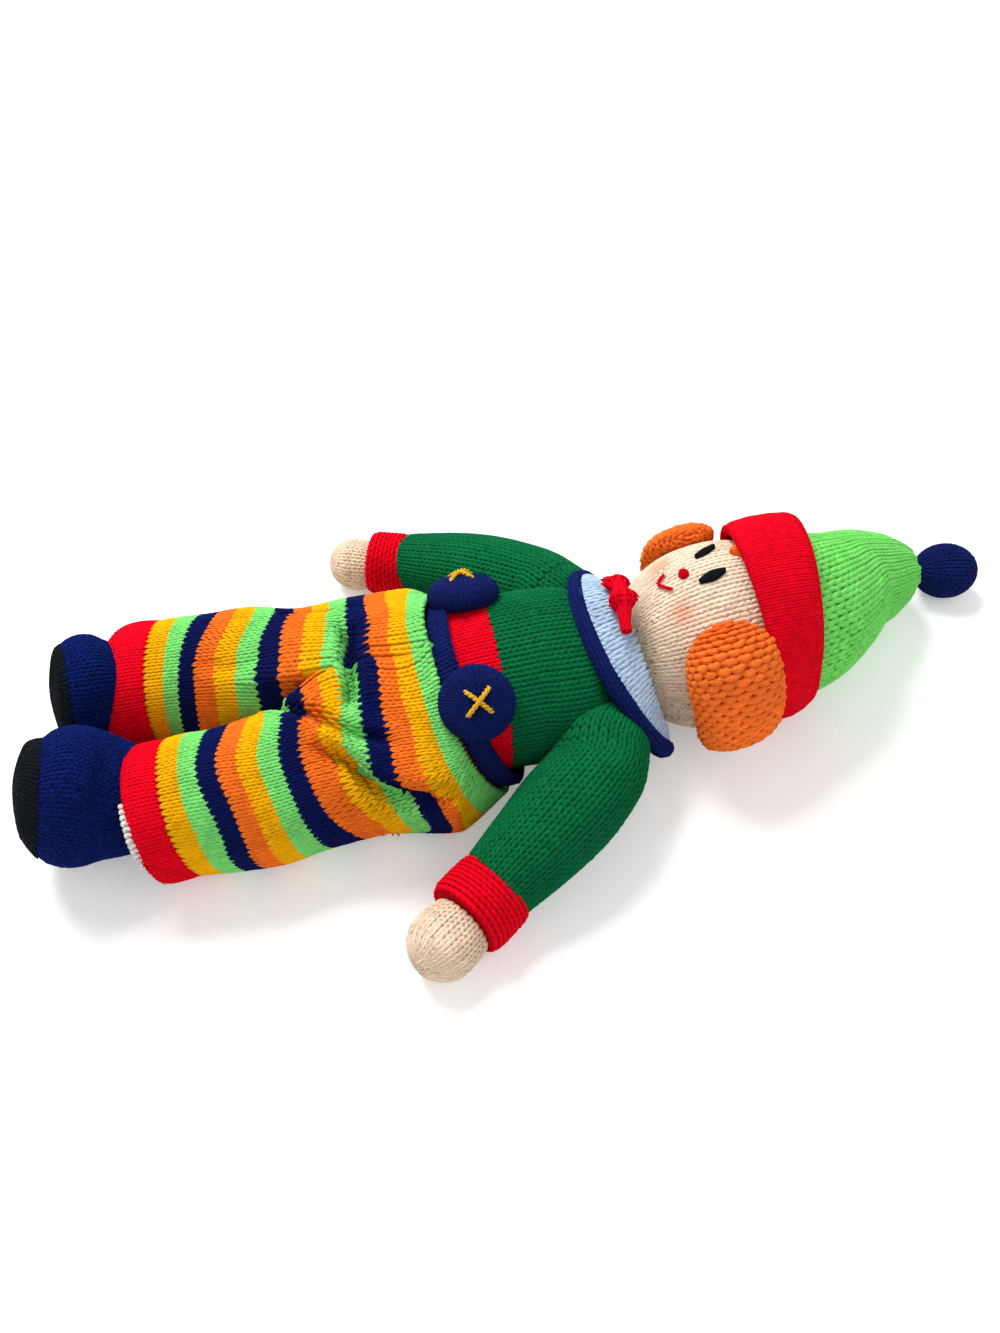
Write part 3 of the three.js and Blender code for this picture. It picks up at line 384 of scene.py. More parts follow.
@dataclass
class Tube:
    """A stuffed or hollow form whose rings swell and taper along a route.

    Attributes:
        path: Places on its axis.
        sizes: Rows of (share of the length, half width, half height), or of (share of the length, radius).
        start_round: Length over which the start draws in to a point.
        end_round: Length over which the end draws in to a point.
        around: Points in a ring.
    """

    path: list[np.ndarray]
    sizes: Sequence[Row]
    start_round: float = 0.0
    end_round: float = 0.0
    around: int = 64

    def surface(self) -> Surface:
        """The form's skin."""
        route = Route(self.path)
        corner = 1 - np.cos(np.linspace(0.02, math.pi / 2, 16))
        stops = [self.start_round * corner] if self.start_round else []
        straight = route.length - self.start_round - self.end_round
        count = int(np.clip(round(straight / 0.8), 2, 50))
        stops.append(np.linspace(self.start_round, route.length - self.end_round, count))
        if self.end_round:
            stops.append(route.length - self.end_round * corner[::-1])
        stop = np.unique(np.concatenate(stops))
        centre, along = route.at(stop)
        across = unit(np.cross(UP, along))
        upward = np.cross(along, across)
        squeeze = np.ones_like(stop)
        for size, distance in ((self.start_round, stop), (self.end_round, route.length - stop)):
            if size:
                near = np.clip((size - distance) / size, 0, 1)
                squeeze *= np.sqrt(1 - near**2)
        rows = [(*row, row[-1]) if len(row) == 2 else row for row in self.sizes]
        sizes = smooth(rows, stop / route.length) * squeeze[:, None]
        wide, high = sizes[:, :1], sizes[:, 1:2]
        return Surface(rings_round(centre, across, upward, wide, high, whole_turn(self.around)))


class Layout:
    """Turns millimetres in the doll's layout into metres in the frame."""

    def __init__(self) -> None:
        """Reads where the frame has the neck."""
        low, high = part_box("neck")
        self.shift = np.array((low + high) / 2) / MM - NECK

    def place(self, points: np.ndarray) -> np.ndarray:
        """Points in metres in the frame."""
        return (np.asarray(points, float) + self.shift) * MM

    def read(self, metres: np.ndarray) -> np.ndarray:
        """Points in the doll's layout from points in the frame."""
        return np.asarray(metres, float) / MM - self.shift


layout = Layout()


class Nodes:
    """Short ways to add and join the nodes of one tree."""

    def __init__(self, tree: bpy.types.NodeTree) -> None:
        """Keeps the tree."""
        self.tree = tree

    @classmethod
    def emptied(cls, owner: bpy.types.Material | bpy.types.World) -> "Nodes":
        """The nodes of a material or world, with none in it yet.

        Args:
            owner: The material or world.

        Returns:
            Its nodes.
        """
        owner.use_nodes = True
        owner.node_tree.nodes.clear()
        return cls(owner.node_tree)

    def add(self, kind: str, **settings: object) -> bpy.types.Node:
        """Adds a node.

        Args:
            kind: Blender's name of the node's type.
            **settings: The node's own settings, or inputs, with ``in_`` before their name or number.

        Returns:
            The new node.
        """
        node = self.tree.nodes.new(kind)
        for name, value in settings.items():
            if name.startswith("in_"):
                key = name[3:]
                self.feed(node.inputs[int(key) if key.isdigit() else key.replace("_", " ")], value)
            else:
                setattr(node, name, value)
        return node

    def feed(self, socket: bpy.types.NodeSocket, value: object) -> None:
        """Links a socket to another one, or sets its value.

        Args:
            socket: The socket.
            value: The other socket or the value.
        """
        if isinstance(value, bpy.types.NodeSocket):
            self.tree.links.new(value, socket)
        else:
            socket.default_value = value


class YarnMaterial:
    """Wool: twisted plies, fine fibres, a soft sheen, a little variation from stitch to stitch and the
    painted shade that the mesh carries.
    """

    ply_scale = 2.2
    fibre_scale = 900.0
    cloud_scale = 60.0
    ply_relief = 0.55
    bump_depth = 0.0004  # metres
    stripe_shadow = (0.7, 0.62, 0.6, 1.0)

    def __init__(self, finish: Finish) -> None:
        """Keeps the yarn's finish."""
        self.finish = finish

    def make(self) -> bpy.types.Material:
        """The material, made once."""
        found = bpy.data.materials.get(self.finish.name)
        if found:
            return found
        material = bpy.data.materials.new(self.finish.name)
        nodes = Nodes.emptied(material)
        place = nodes.add("ShaderNodeTexCoord")
        where = place.outputs["Object"]
        fibres, clouds = (
            nodes.add("ShaderNodeTexNoise", in_Vector=where, in_Scale=scale, in_Detail=detail)
            for scale, detail in ((self.fibre_scale, 3.0), (self.cloud_scale, 2.0))
        )
        plies = nodes.add("ShaderNodeTexWave", in_Vector=place.outputs["UV"], in_Scale=self.ply_scale,
                          in_Distortion=1.5, bands_direction="DIAGONAL")
        colour = self.colour(nodes, place, fibres.outputs["Fac"], clouds.outputs["Fac"])
        relief = nodes.add("ShaderNodeMath", operation="MULTIPLY_ADD", in_0=plies.outputs["Fac"],
                           in_1=self.ply_relief, in_2=fibres.outputs["Fac"])
        bump = nodes.add("ShaderNodeBump", in_Strength=0.55, in_Distance=self.bump_depth,
                         in_Height=relief.outputs[0])
        shader = nodes.add(
            "ShaderNodeBsdfPrincipled", in_Base_Color=colour, in_Normal=bump.outputs[0],
            in_Roughness=self.finish.roughness, in_Sheen_Weight=self.finish.sheen, in_Sheen_Roughness=0.6,
            in_Sheen_Tint=srgb(*self.finish.colour), in_Specular_IOR_Level=self.finish.shine,
        )
        nodes.add("ShaderNodeOutputMaterial", in_Surface=shader.outputs[0])
        return material

    def colour(
        self, nodes: Nodes, place: bpy.types.Node, fibres: bpy.types.NodeSocket, clouds: bpy.types.NodeSocket
    ) -> bpy.types.NodeSocket:
        """Builds the yarn's colour.

        Args:
            nodes: The material's nodes.
            place: Texture coordinates.
            fibres: Fine noise.
            clouds: Coarse noise.

        Returns:
            The socket that holds the colour.
        """
        spread = nodes.add("ShaderNodeMapRange", in_Value=fibres, in_From_Min=0.35, in_From_Max=0.7,
                           in_To_Max=min(1.0, self.finish.marl * 1.6))
        if self.finish.striped:
            tint = nodes.add("ShaderNodeAttribute", attribute_name="tint")
            mixed = nodes.add("ShaderNodeMix", data_type="RGBA", blend_type="MULTIPLY",
                              in_0=spread.outputs[0], in_6=tint.outputs["Color"], in_7=self.stripe_shadow)
        else:
            mixed = nodes.add("ShaderNodeMix", data_type="RGBA", in_0=spread.outputs[0],
                              in_6=srgb(*self.finish.colour), in_7=srgb(*self.finish.second))
        # the shade attribute holds a random tone for each stitch and painted shade: darker cloth between the
        # stitches and in the trousers' folds
        shade = nodes.add("ShaderNodeAttribute", attribute_name="shade")
        vary = nodes.add("ShaderNodeMapRange", in_Value=clouds, in_To_Min=0.86, in_To_Max=1.12)
        level = nodes.add("ShaderNodeMath", operation="MULTIPLY", in_0=shade.outputs["Fac"],
                          in_1=vary.outputs[0])
        lit = nodes.add("ShaderNodeVectorMath", operation="SCALE", in_0=mixed.outputs[2],
                        in_Scale=level.outputs[0])
        return lit.outputs[0]


class FaceMaterial(YarnMaterial):
    """Cream wool with a soft blush on both cheeks."""

    blush_colour = (250, 170, 136)
    cheeks = ((25.2, -27.0), (25.5, 22.0))  # distance along the head and degrees from the middle of the face
    blush_radius = 0.0062  # metres
    blush_strength = 0.78

    def colour(
        self, nodes: Nodes, place: bpy.types.Node, fibres: bpy.types.NodeSocket, clouds: bpy.types.NodeSocket
    ) -> bpy.types.NodeSocket:
        """The yarn's colour with the blush laid over it.

        Args:
            nodes: The material's nodes.
            place: Texture coordinates.
            fibres: Fine noise.
            clouds: Coarse noise.

        Returns:
            The socket that holds the colour.
        """
        colour = super().colour(nodes, place, fibres, clouds)
        for distance, degrees in self.cheeks:
            spot, _ = HEAD.on_skin(distance, degrees)
            away = nodes.add("ShaderNodeVectorMath", operation="DISTANCE", in_0=place.outputs["Object"],
                             in_1=tuple(layout.place(spot)))
            ragged = nodes.add("ShaderNodeMath", operation="MULTIPLY_ADD", in_0=fibres,
                               in_1=self.blush_radius * 0.5, in_2=away.outputs["Value"])
            fade = nodes.add("ShaderNodeMapRange", interpolation_type="SMOOTHSTEP",
                             in_Value=ragged.outputs[0], in_From_Min=self.blush_radius * 0.35,
                             in_From_Max=self.blush_radius * 1.5, in_To_Min=self.blush_strength,
                             in_To_Max=0.0)
            mix = nodes.add("ShaderNodeMix", data_type="RGBA", in_0=fade.outputs[0], in_6=colour,
                            in_7=srgb(*self.blush_colour))
            colour = mix.outputs[2]
        return colour


def linked(name: str, data: bpy.types.ID) -> bpy.types.Object:
    """Adds an object to the scene.

    Args:
        name: Name of the object.
        data: Its mesh, light or camera.

    Returns:
        The object.
    """
    made = bpy.data.objects.new(name, data)
    bpy.context.scene.collection.objects.link(made)
    return made


def mesh_object(name: str, points: np.ndarray, faces: Faces) -> bpy.types.Object:
    """A smooth mesh object from points in the doll's layout.

    Args:
        name: Name of the object.
        points: Points in millimetres.
        faces: Corner numbers of each face.

    Returns:
        The object, linked to the scene.
    """
    mesh = bpy.data.meshes.new(name)
    mesh.from_pydata([tuple(p) for p in layout.place(points)], [], faces)
    mesh.validate()
    mesh.shade_smooth()
    return linked(name, mesh)


def lay_uv(mesh: bpy.types.Mesh, places: list[tuple[float, float]]) -> None:
    """Gives each corner of a mesh the texture place of its point.

    Args:
        mesh: The mesh.
        places: Texture place of each point.
    """
    layer = mesh.uv_layers.new(name="UVMap")
    for loop in mesh.loops:
        layer.data[loop.index].uv = places[loop.vertex_index]


def net_faces(numbers: np.ndarray, loop: bool) -> Faces:
    """Faces between rings of points.

    Args:
        numbers: Numbers of the points in each ring.
        loop: True where the last ring joins the first.

    Returns:
        Corner numbers of each face.
    """
    beside = np.roll(numbers, -1, 1)
    above = np.roll(numbers, -1, 0)
    stack = np.stack([numbers, beside, np.roll(above, -1, 1), above], -1)
    return [tuple(int(corner) for corner in face) for face in (stack if loop else stack[:-1]).reshape(-1, 4)]


def facing_out(points: np.ndarray, faces: Faces) -> Faces:
    """The faces of a closed mesh, turned so that they point outwards.

    Args:
        points: Points of the mesh.
        faces: Corner numbers of each face.

    Returns:
        The faces, all turned round where they pointed inwards.
    """
    volume = 0.0
    for face in faces:
        corner = points[list(face)]
        for k in range(1, len(face) - 1):
            volume += float(corner[0] @ np.cross(corner[k], corner[k + 1]))
    return [face[::-1] for face in faces] if volume < 0 else faces


def closed_net(rings: np.ndarray) -> tuple[np.ndarray, Faces]:
    """Points and faces of a skin over rings, with a point in the middle of each end.

    Args:
        rings: Array of (ring, place round the ring, xyz).

    Returns:
        Points, the two middles last, and faces that point outwards.
    """
    count, around = rings.shape[:2]
    numbers = np.arange(count * around).reshape(count, around)
    points = np.concatenate([rings.reshape(-1, 3), [rings[0].mean(0), rings[-1].mean(0)]])
    faces = net_faces(numbers, False)
    for k in range(around):
        beside = (k + 1) % around
        faces.append((int(numbers[0, beside]), int(numbers[0, k]), count * around))
        faces.append((int(numbers[-1, k]), int(numbers[-1, beside]), count * around + 1))
    return points, facing_out(points, faces)


def strand_net(centres: np.ndarray, radii: np.ndarray, sides: int) -> tuple[np.ndarray, Faces]:
    """Points and faces of a closed strand of yarn.

    Args:
        centres: Places on its axis.
        radii: Half width and half depth at each place.
        sides: Count of its sides.

    Returns:
        Points and faces, which point outwards.
    """
    along = unit(np.gradient(centres, axis=0))
    across = unit(np.cross(along, UP) + np.array([1e-6, 0, 0]))
    angle = (np.arange(sides) + 0.5) / sides * math.tau
    rings = rings_round(centres, across, np.cross(across, along), radii[:, :1], radii[:, 1:2], angle)
    numbers = np.arange(len(centres) * sides).reshape(-1, sides)
    ends = [tuple(range(sides))[::-1], tuple(int(number) for number in numbers[-1])]
    points = rings.reshape(-1, 3)
    return points, facing_out(points, ends + net_faces(numbers, False))


def strands_net(strands: Strands, sides: int) -> tuple[np.ndarray, Faces]:
    """Points and faces of several strands.

    Args:
        strands: Axis and radii of each strand.
        sides: Count of each strand's sides.

    Returns:
        Points and faces of all.
    """
    nets: list[np.ndarray] = []
    faces: Faces = []
    for centres, radii in strands:
        start = sum(len(net) for net in nets)
        net, made = strand_net(centres, radii, sides)
        nets.append(net)
        faces += [tuple(start + corner for corner in face) for face in made]
    return np.concatenate(nets), faces


def twisted(path: list[np.ndarray], radius: float, plies: int = 2, pitch: float = 4.0) -> Strands:
    """Plies that wind round each other along a line.

    Args:
        path: Places on the line.
        radius: Radius of the whole yarn.
        plies: Count of plies.
        pitch: Length of one turn.

    Returns:
        Axis and radii of each ply.
    """
    route = Route(path)
    marks = np.linspace(0, route.length, max(8, round(route.length * 3)))
    centre, along = route.at(marks)
    across = unit(np.cross(along, UP) + np.array([1e-6, 0, 0]))
    upward = np.cross(across, along)
    strands = []
    for ply in range(plies):
        turn = (marks / pitch + ply / plies)[:, None] * math.tau
        axis = centre + (across * np.cos(turn) + upward * np.sin(turn)) * radius * 0.45
        strands.append((axis, np.full((len(marks), 2), radius * 0.62)))
    return strands


class StitchShape:
    """The small mesh that is repeated for one kind of stitch, one unit wide and high."""

    sides = 5

    def __init__(self, stitch: Stitch) -> None:
        """Keeps which stitch it is."""
        self.stitch = stitch

    def strands(self) -> Strands:
        """Axes and thicknesses of the strands that show in one stitch."""
        if self.stitch is Stitch.KNIT:
            t = np.array([0.0, 0.3, 0.68, 1.0])
            size = np.array([0.17, 0.27, 0.27, 0.17])
            height = 0.3 * np.sin(math.pi * t) - 0.3
            radii = np.stack([size, size * 1.5], -1)
            return [
                (np.stack([side * (0.1 + 0.27 * t), -0.8 + 1.6 * t, height], -1), radii) for side in (-1, 1)
            ]
        wide = 0.5 if self.stitch is Stitch.MOSS else 0.6
        t = np.linspace(-1, 1, 5)
        line = np.stack([wide * t, 0.16 - 0.3 * t**2, 0.3 - 0.7 * t**2], -1)
        size = np.array([0.34, 0.48, 0.52, 0.48, 0.34])
        return [(line, np.stack([size, size], -1))]

    def make(self) -> bpy.types.Object:
        """The stitch as an object at the origin, made once."""
        found = bpy.data.objects.get(self.stitch.value)
        if found:
            return found
        strands = self.strands()
        net, faces = strands_net(strands, self.sides)
        turns = [side / self.sides for centres, _ in strands for _ in centres for side in range(self.sides)]
        mesh = bpy.data.meshes.new(self.stitch.value)
        mesh.from_pydata([tuple(p) for p in net], [], faces)
        lay_uv(mesh, list(zip(turns, net[:, 1])))
        mesh.shade_smooth()
        return linked(self.stitch.value, mesh)


class StitchTree:
    """Geometry Nodes that lay one stitch on every place and join them to the skin."""

    name = "knitted_stitches"

    def make(self) -> bpy.types.NodeTree:
        """The tree, made once."""
        found = bpy.data.node_groups.get(self.name)
        if found:
            return found
        tree = bpy.data.node_groups.new(self.name, "GeometryNodeTree")
        for name, kind in (
            ("Places", "NodeSocketGeometry"), ("Stitch", "NodeSocketObject"),
            ("Skin", "NodeSocketObject"), ("Yarn", "NodeSocketMaterial"), ("Thickness", "NodeSocketFloat"),
        ):
            tree.interface.new_socket(name, in_out="INPUT", socket_type=kind)
        tree.interface.new_socket("Piece", in_out="OUTPUT", socket_type="NodeSocketGeometry")
        nodes = Nodes(tree)
        given = nodes.add("NodeGroupInput").outputs
        stitch = nodes.add("GeometryNodeObjectInfo", in_Object=given["Stitch"])
        skin = nodes.add("GeometryNodeObjectInfo", in_Object=given["Skin"])
        turn = nodes.add("GeometryNodeInputNamedAttribute", data_type="FLOAT_VECTOR", in_Name="turn")
        size = nodes.add("GeometryNodeInputNamedAttribute", data_type="FLOAT_VECTOR", in_Name="size")
        thick = nodes.add("ShaderNodeCombineXYZ", in_X=1.0, in_Y=1.0, in_Z=given["Thickness"])
        scale = nodes.add("ShaderNodeVectorMath", operation="MULTIPLY", in_0=size.outputs["Attribute"],
                          in_1=thick.outputs[0])
        laid = nodes.add(
            "GeometryNodeInstanceOnPoints", in_Points=given["Places"], in_Instance=stitch.outputs["Geometry"],
            in_Rotation=turn.outputs["Attribute"], in_Scale=scale.outputs[0],
        )
        real = nodes.add("GeometryNodeRealizeInstances", in_Geometry=laid.outputs[0])
        joined = nodes.add("GeometryNodeJoinGeometry", in_Geometry=real.outputs[0])
        tree.links.new(skin.outputs["Geometry"], joined.inputs[0])
        dressed = nodes.add("GeometryNodeSetMaterial", in_Geometry=joined.outputs[0],
                            in_Material=given["Yarn"])
        nodes.add("NodeGroupOutput", in_Piece=dressed.outputs[0])
        return tree


def fill_attribute(mesh: bpy.types.Mesh, name: str, kind: str, values: np.ndarray) -> None:
    """Stores one value for each point of a mesh.

    Args:
        mesh: The mesh.
        name: Name of the attribute.
        kind: Blender's name of its type.
        values: The values, one row for each point.
    """
    made = mesh.attributes.new(name, kind, "POINT")
    key = {"FLOAT": "value", "FLOAT_VECTOR": "vector", "FLOAT_COLOR": "color"}[kind]
    made.data.foreach_set(key, np.asarray(values, np.float32).ravel())


class Stuffing:
    """Blows a closed skin up a little by cloth simulation, as filling does, while its seams hold."""

    frames = 20
    pressure = 4.0
    slack = 0.5  # how much smaller the skin starts, in millimetres
    furthest = 1.2  # how far a point of the skin may move
    rings = 30
    around = 36

    def filled(self, surface: Surface) -> Surface:
        """Args:
            surface: A skin that is closed but for its two end rings, which are its seams.

        Returns:
            The surface with every point moved as its skin was.
        """
        count, around = surface.points.shape[:2]
        ring, turn = np.meshgrid(
            np.linspace(0, count - 1, self.rings), np.arange(self.around) / self.around, indexing="ij"
        )
        coarse = Surface(surface.sample(ring, turn))
        shift = self.blown(coarse.moved(-self.slack).points) - coarse.points
        reach = np.linalg.norm(shift, axis=-1, keepdims=True)
        shift *= np.minimum(1, self.furthest / np.maximum(reach, 1e-9))
        ring, turn = np.meshgrid(
            np.arange(count) / (count - 1) * (self.rings - 1), np.arange(around) / around, indexing="ij"
        )
        return Surface(surface.points + Surface(shift).sample(ring, turn), surface.loop)

    def blown(self, rings: np.ndarray) -> np.ndarray:
        """Runs the simulation on a skin.

        Args:
            rings: Array of (ring, place round the ring, xyz).

        Returns:
            The same points after the last frame.
        """
        points, faces = closed_net(rings)
        cloth = mesh_object("filled_skin", points, faces)
        seams = cloth.vertex_groups.new(name="seams")
        held = [*range(self.around), *range(len(points) - 2 - self.around, len(points))]
        seams.add(held, 1.0, "REPLACE")
        modifier = cloth.modifiers.new("filling", "CLOTH")
        modifier.settings.quality = 6
        modifier.settings.mass = 0.2
        modifier.settings.bending_stiffness = 0.3
        modifier.settings.use_pressure = True
        modifier.settings.uniform_pressure_force = self.pressure
        modifier.settings.vertex_group_mass = seams.name
        modifier.settings.effector_weights.gravity = 0.0
        modifier.point_cache.frame_end = self.frames
        for frame in range(1, self.frames + 1):
            bpy.context.scene.frame_set(frame)
        graph = bpy.context.evaluated_depsgraph_get()
        settled = bpy.data.meshes.new_from_object(cloth.evaluated_get(graph), depsgraph=graph)
        places = np.empty(len(settled.vertices) * 3)
        settled.vertices.foreach_get("co", places)
        bpy.context.scene.frame_set(1)
        bpy.data.objects.remove(cloth)
        bpy.data.meshes.remove(settled)
        return layout.read(places.reshape(-1, 3)[:-2]).reshape(rings.shape)


@dataclass
class Knitted:
    """One knitted piece: its skin and every stitch on it.

    Attributes:
        name: Name of the piece.
        surface: Where its stitches lie.
        finish: Its yarn.
        body: Body that it rides on, or nothing where it lies across two and rides on neither.
        gauge: Size of its stitches.
        nodes: CAD nodes that it stands for, where they aren't the one of its own name.
        stripes: Colour number at each row, where it is striped.
        wall: Thickness of the cloth where the piece is a hollow tube, or 0 where it is stuffed.
        apart: True where the stitches are a piece of their own.
        hidden: Tells which places have no stitch.
        filled: True where the skin is blown up by its filling.
        marks: How far each ring lies along the rows, where that isn't its distance on the surface.
        shade: Painted shade between the stitches: how dark the cloth under them is coloured, standing in for
            the shadow in the gaps.
        painted_shade_map: Painted shade: tells how much of the yarn's colour is left at each place, less of
            it deep in a fold.
    """

    name: str
    surface: Surface
    finish: Finish
    body: str
    gauge: Gauge
    nodes: tuple[str, ...] | None = None
    stripes: list[int] | None = None
    wall: float = 0.0
    apart: bool = False
    hidden: Callable[[np.ndarray], np.ndarray] | None = None
    filled: bool = False
    marks: np.ndarray | None = None
    shade: float = 0.72
    painted_shade_map: Callable[[np.ndarray], np.ndarray] | None = None

    skin_depth = 0.5  # how deep the cloth lies under the stitches, in thicknesses of the yarn
    inner_lift = 0.4  # how much higher the inner wall rests than the outer one
    stitch_depth = 1.6
    least_width = 0.3  # narrower stitches are left out
    shade_spread = 0.055
    size_spread = (0.4, 0.4, 1.0)

    def build(self) -> list[bpy.types.Object]:
        """Makes the piece.

        Returns:
            The piece, and its stitches where they are a piece of their own.
        """
        if self.filled:
            self.surface = Stuffing().filled(self.surface)
        self.surface = self.surface.resting()
        skin = self.skin()
        places = self.places()
        empty = mesh_object(f"{self.name}_empty", np.zeros((0, 3)), [])
        made = []
        if self.apart:
            nowhere = mesh_object("no_places", np.zeros((0, 3)), [])
            made.append(self.dressed(f"{self.name}_cloth", nowhere, skin))
            made.append(self.dressed(f"{self.name}_stitches", places, empty))
        else:
            made.append(self.dressed(f"{self.name}_knit", places, skin))
        for spare in (skin, empty):
            bpy.data.objects.remove(spare)
        for piece in made:
            if self.body:
                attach(piece, self.body)
        nodes = (self.name,) if self.nodes is None else self.nodes
        if nodes:
            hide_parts(*nodes)
        return made

    def stuffed(self) -> None:
        """Makes the piece."""
        self.build()[0]

    def material(self) -> bpy.types.Material:
        """The piece's yarn."""
        kind = FaceMaterial if self.finish is FACE else YarnMaterial
        return kind(self.finish).make()

    def dressed(self, name: str, places: bpy.types.Object, skin: bpy.types.Object) -> bpy.types.Object:
        """Runs the stitch tree and keeps its result as a plain mesh.

        Args:
            name: Name of the result.
            places: Points with a turn and a size.
            skin: The skin to join to the stitches.

        Returns:
            The finished object.
        """
        tree = StitchTree().make()
        modifier = places.modifiers.new("stitches", "NODES")
        modifier.node_group = tree
        values = {
            "Stitch": StitchShape(self.gauge.stitch).make(), "Skin": skin,
            "Yarn": self.material(), "Thickness": self.gauge.thick * MM,
        }
        for socket in tree.interface.items_tree:
            if socket.name in values:
                modifier[socket.identifier] = values[socket.name]
        graph = bpy.context.evaluated_depsgraph_get()
        mesh = bpy.data.meshes.new_from_object(
            places.evaluated_get(graph), preserve_all_data_layers=True, depsgraph=graph
        )
        places.modifiers.clear()
        old = places.data
        places.data = mesh
        bpy.data.meshes.remove(old)
        for spare in ("turn", "size"):
            if spare in mesh.attributes:
                mesh.attributes.remove(mesh.attributes[spare])
        mesh.name = name
        places.name = name
        log.info("%s: %d faces", name, len(mesh.polygons))
        return places

    def progress(self) -> np.ndarray:
        """How far each ring lies along the rows of stitches."""
        return self.surface.lengths() if self.marks is None else self.marks

    def tints(self) -> np.ndarray:
        """Colour of the stripe at each ring of the skin."""
        numbers = np.asarray(self.stripes)
        marks = self.progress()
        row = np.clip((marks / marks[-1] * len(numbers)).astype(int), 0, len(numbers) - 1)
        return STRIPE_COLOURS[numbers[row]]

    def skin(self) -> bpy.types.Object:
        """The cloth under the stitches: closed at both ends, or with an inner wall where it is hollow."""
        outer = self.surface.moved(-self.skin_depth * self.gauge.thick)
        rings, around = outer.points.shape[:2]
        numbers = np.arange(rings * around).reshape(rings, around)
        layers = 1
        if self.wall:
            layers = 2
            inside = self.surface.moved(-self.wall).resting(REST_HEIGHT + self.inner_lift)
            points = np.concatenate([outer.points.reshape(-1, 3), inside.points.reshape(-1, 3)])
            inner = numbers + rings * around
            faces = net_faces(numbers, outer.loop) + [face[::-1] for face in net_faces(inner, outer.loop)]
            faces += net_faces(np.stack([inner[0], numbers[0]]), False)
            faces += net_faces(np.stack([numbers[-1], inner[-1]]), False)
            faces = facing_out(points, faces)
        elif outer.loop:
            points = outer.points.reshape(-1, 3)
            faces = facing_out(points, net_faces(numbers, True))
        else:
            points, faces = closed_net(outer.points)
        made = mesh_object(f"{self.name}_skin", points, faces)
        # painted shade: the cloth under the stitches is coloured darker, as the shadow in the gaps, and
        # darker still in the trousers' folds
        fill_attribute(made.data, "shade", "FLOAT", self.shade * self.painted_shade_factor(points))
        if self.stripes:
            tints = np.repeat(self.tints(), around, 0)
            fill_attribute(made.data, "tint", "FLOAT_COLOR", np.tile(tints, (layers, 1)))
        return made

    def painted_shade_factor(self, points: np.ndarray) -> np.ndarray:
        """Share of the yarn's colour that the painted shade leaves at each place, as deep in a fold."""
        return np.ones(len(points)) if self.painted_shade_map is None else self.painted_shade_map(points)

    def stitch_rows(self, rows: int) -> tuple[np.ndarray, np.ndarray, np.ndarray, list[int]]:
        """Shares the surface out between the stitches.

        Args:
            rows: Count of rows.

        Returns:
            Fractional ring number, place round the ring and share of the ring of each stitch, and the count
            of stitches in each row.
        """
        gauge, marks = self.gauge, self.progress()
        steps = np.roll(self.surface.points, -1, 1) - self.surface.points
        around = np.linalg.norm(steps, axis=-1).sum(1)
        full = max(4, round(float(np.percentile(around, 80)) / gauge.width / 2) * 2)
        rings = np.interp((np.arange(rows) + 0.5) / rows * marks[-1], marks, np.arange(len(marks)))
        turns, counts = [], []
        for row, length in enumerate(np.interp(rings, np.arange(len(around)), around)):
            count = full
            while count > 6 and length / count < gauge.width * 0.5:
                count //= 2
            shift = 0.5 * (row % 2) if gauge.offset else 0.0
            turns.append((np.arange(count) + 0.5 + shift) / count)
            counts.append(count)
        share = np.repeat(1 / np.array(counts), counts)
        return np.repeat(rings, counts), np.concatenate(turns), share, counts

    def stitch_axes(
        self, ring: np.ndarray, turn: np.ndarray, share: np.ndarray, half_row: float
    ) -> tuple[np.ndarray, np.ndarray]:
        """Lays each stitch along the cloth.

        Args:
            ring: Fractional ring number of each stitch.
            turn: Place of each round its ring.
            share: Share of the ring that each covers.
            half_row: Half the height of a row, counted in rings.

        Returns:
            Across, along and outward direction of each as the columns of a matrix, and its three sizes.
        """
        surface, gauge = self.surface, self.gauge
        along = surface.sample(ring + half_row, turn) - surface.sample(ring - half_row, turn)
        across = surface.sample(ring, turn + share / 2) - surface.sample(ring, turn - share / 2)
        outward = np.cross(across, along)
        truth = Surface(surface.normals(), surface.loop).sample(ring, turn)
        flip = np.sign((outward * truth).sum(-1, keepdims=True))
        across = across * flip
        z = unit(outward * flip)
        straight = unit(np.cross(z, unit(across)))
        skew = ease(0.1, 0.5, np.abs((unit(across) * unit(along)).sum(-1, keepdims=True)))
        y = unit(unit(along) * (1 - skew) + straight * skew)
        x = unit(np.cross(y, z))
        wide = np.minimum(np.linalg.norm(across, axis=-1) * gauge.fill, gauge.width * 1.3)
        high = np.clip((along * y).sum(-1), gauge.height * 0.45, gauge.height * 1.4)
        return np.stack([x, y, z], -1), np.stack([wide, high, np.full(len(ring), self.stitch_depth)], -1)

    def places(self) -> bpy.types.Object:
        """One point for every stitch, with its turn, size, shade and stripe."""
        marks = self.progress()
        rows = max(1, len(self.stripes) if self.stripes else round(marks[-1] / self.gauge.height))
        ring, turn, share, counts = self.stitch_rows(rows)
        here = self.surface.sample(ring, turn)
        axes, size = self.stitch_axes(ring, turn, share, (len(marks) - 1) / rows * 0.5)
        keep = size[:, 0] > self.least_width
        if self.hidden is not None:
            keep &= ~self.hidden(here)
        jitter = np.random.default_rng(SEED).normal(0, 1, (len(ring), 4))
        loose = 0.14 if self.gauge.stitch is Stitch.MOSS else 0.05
        size = size * (1 + loose * jitter[:, 1:4] * np.array(self.size_spread))
        size[:, :2] *= MM
        turns = turns_of(axes)
        turns[:, 2] += loose * jitter[:, 3]
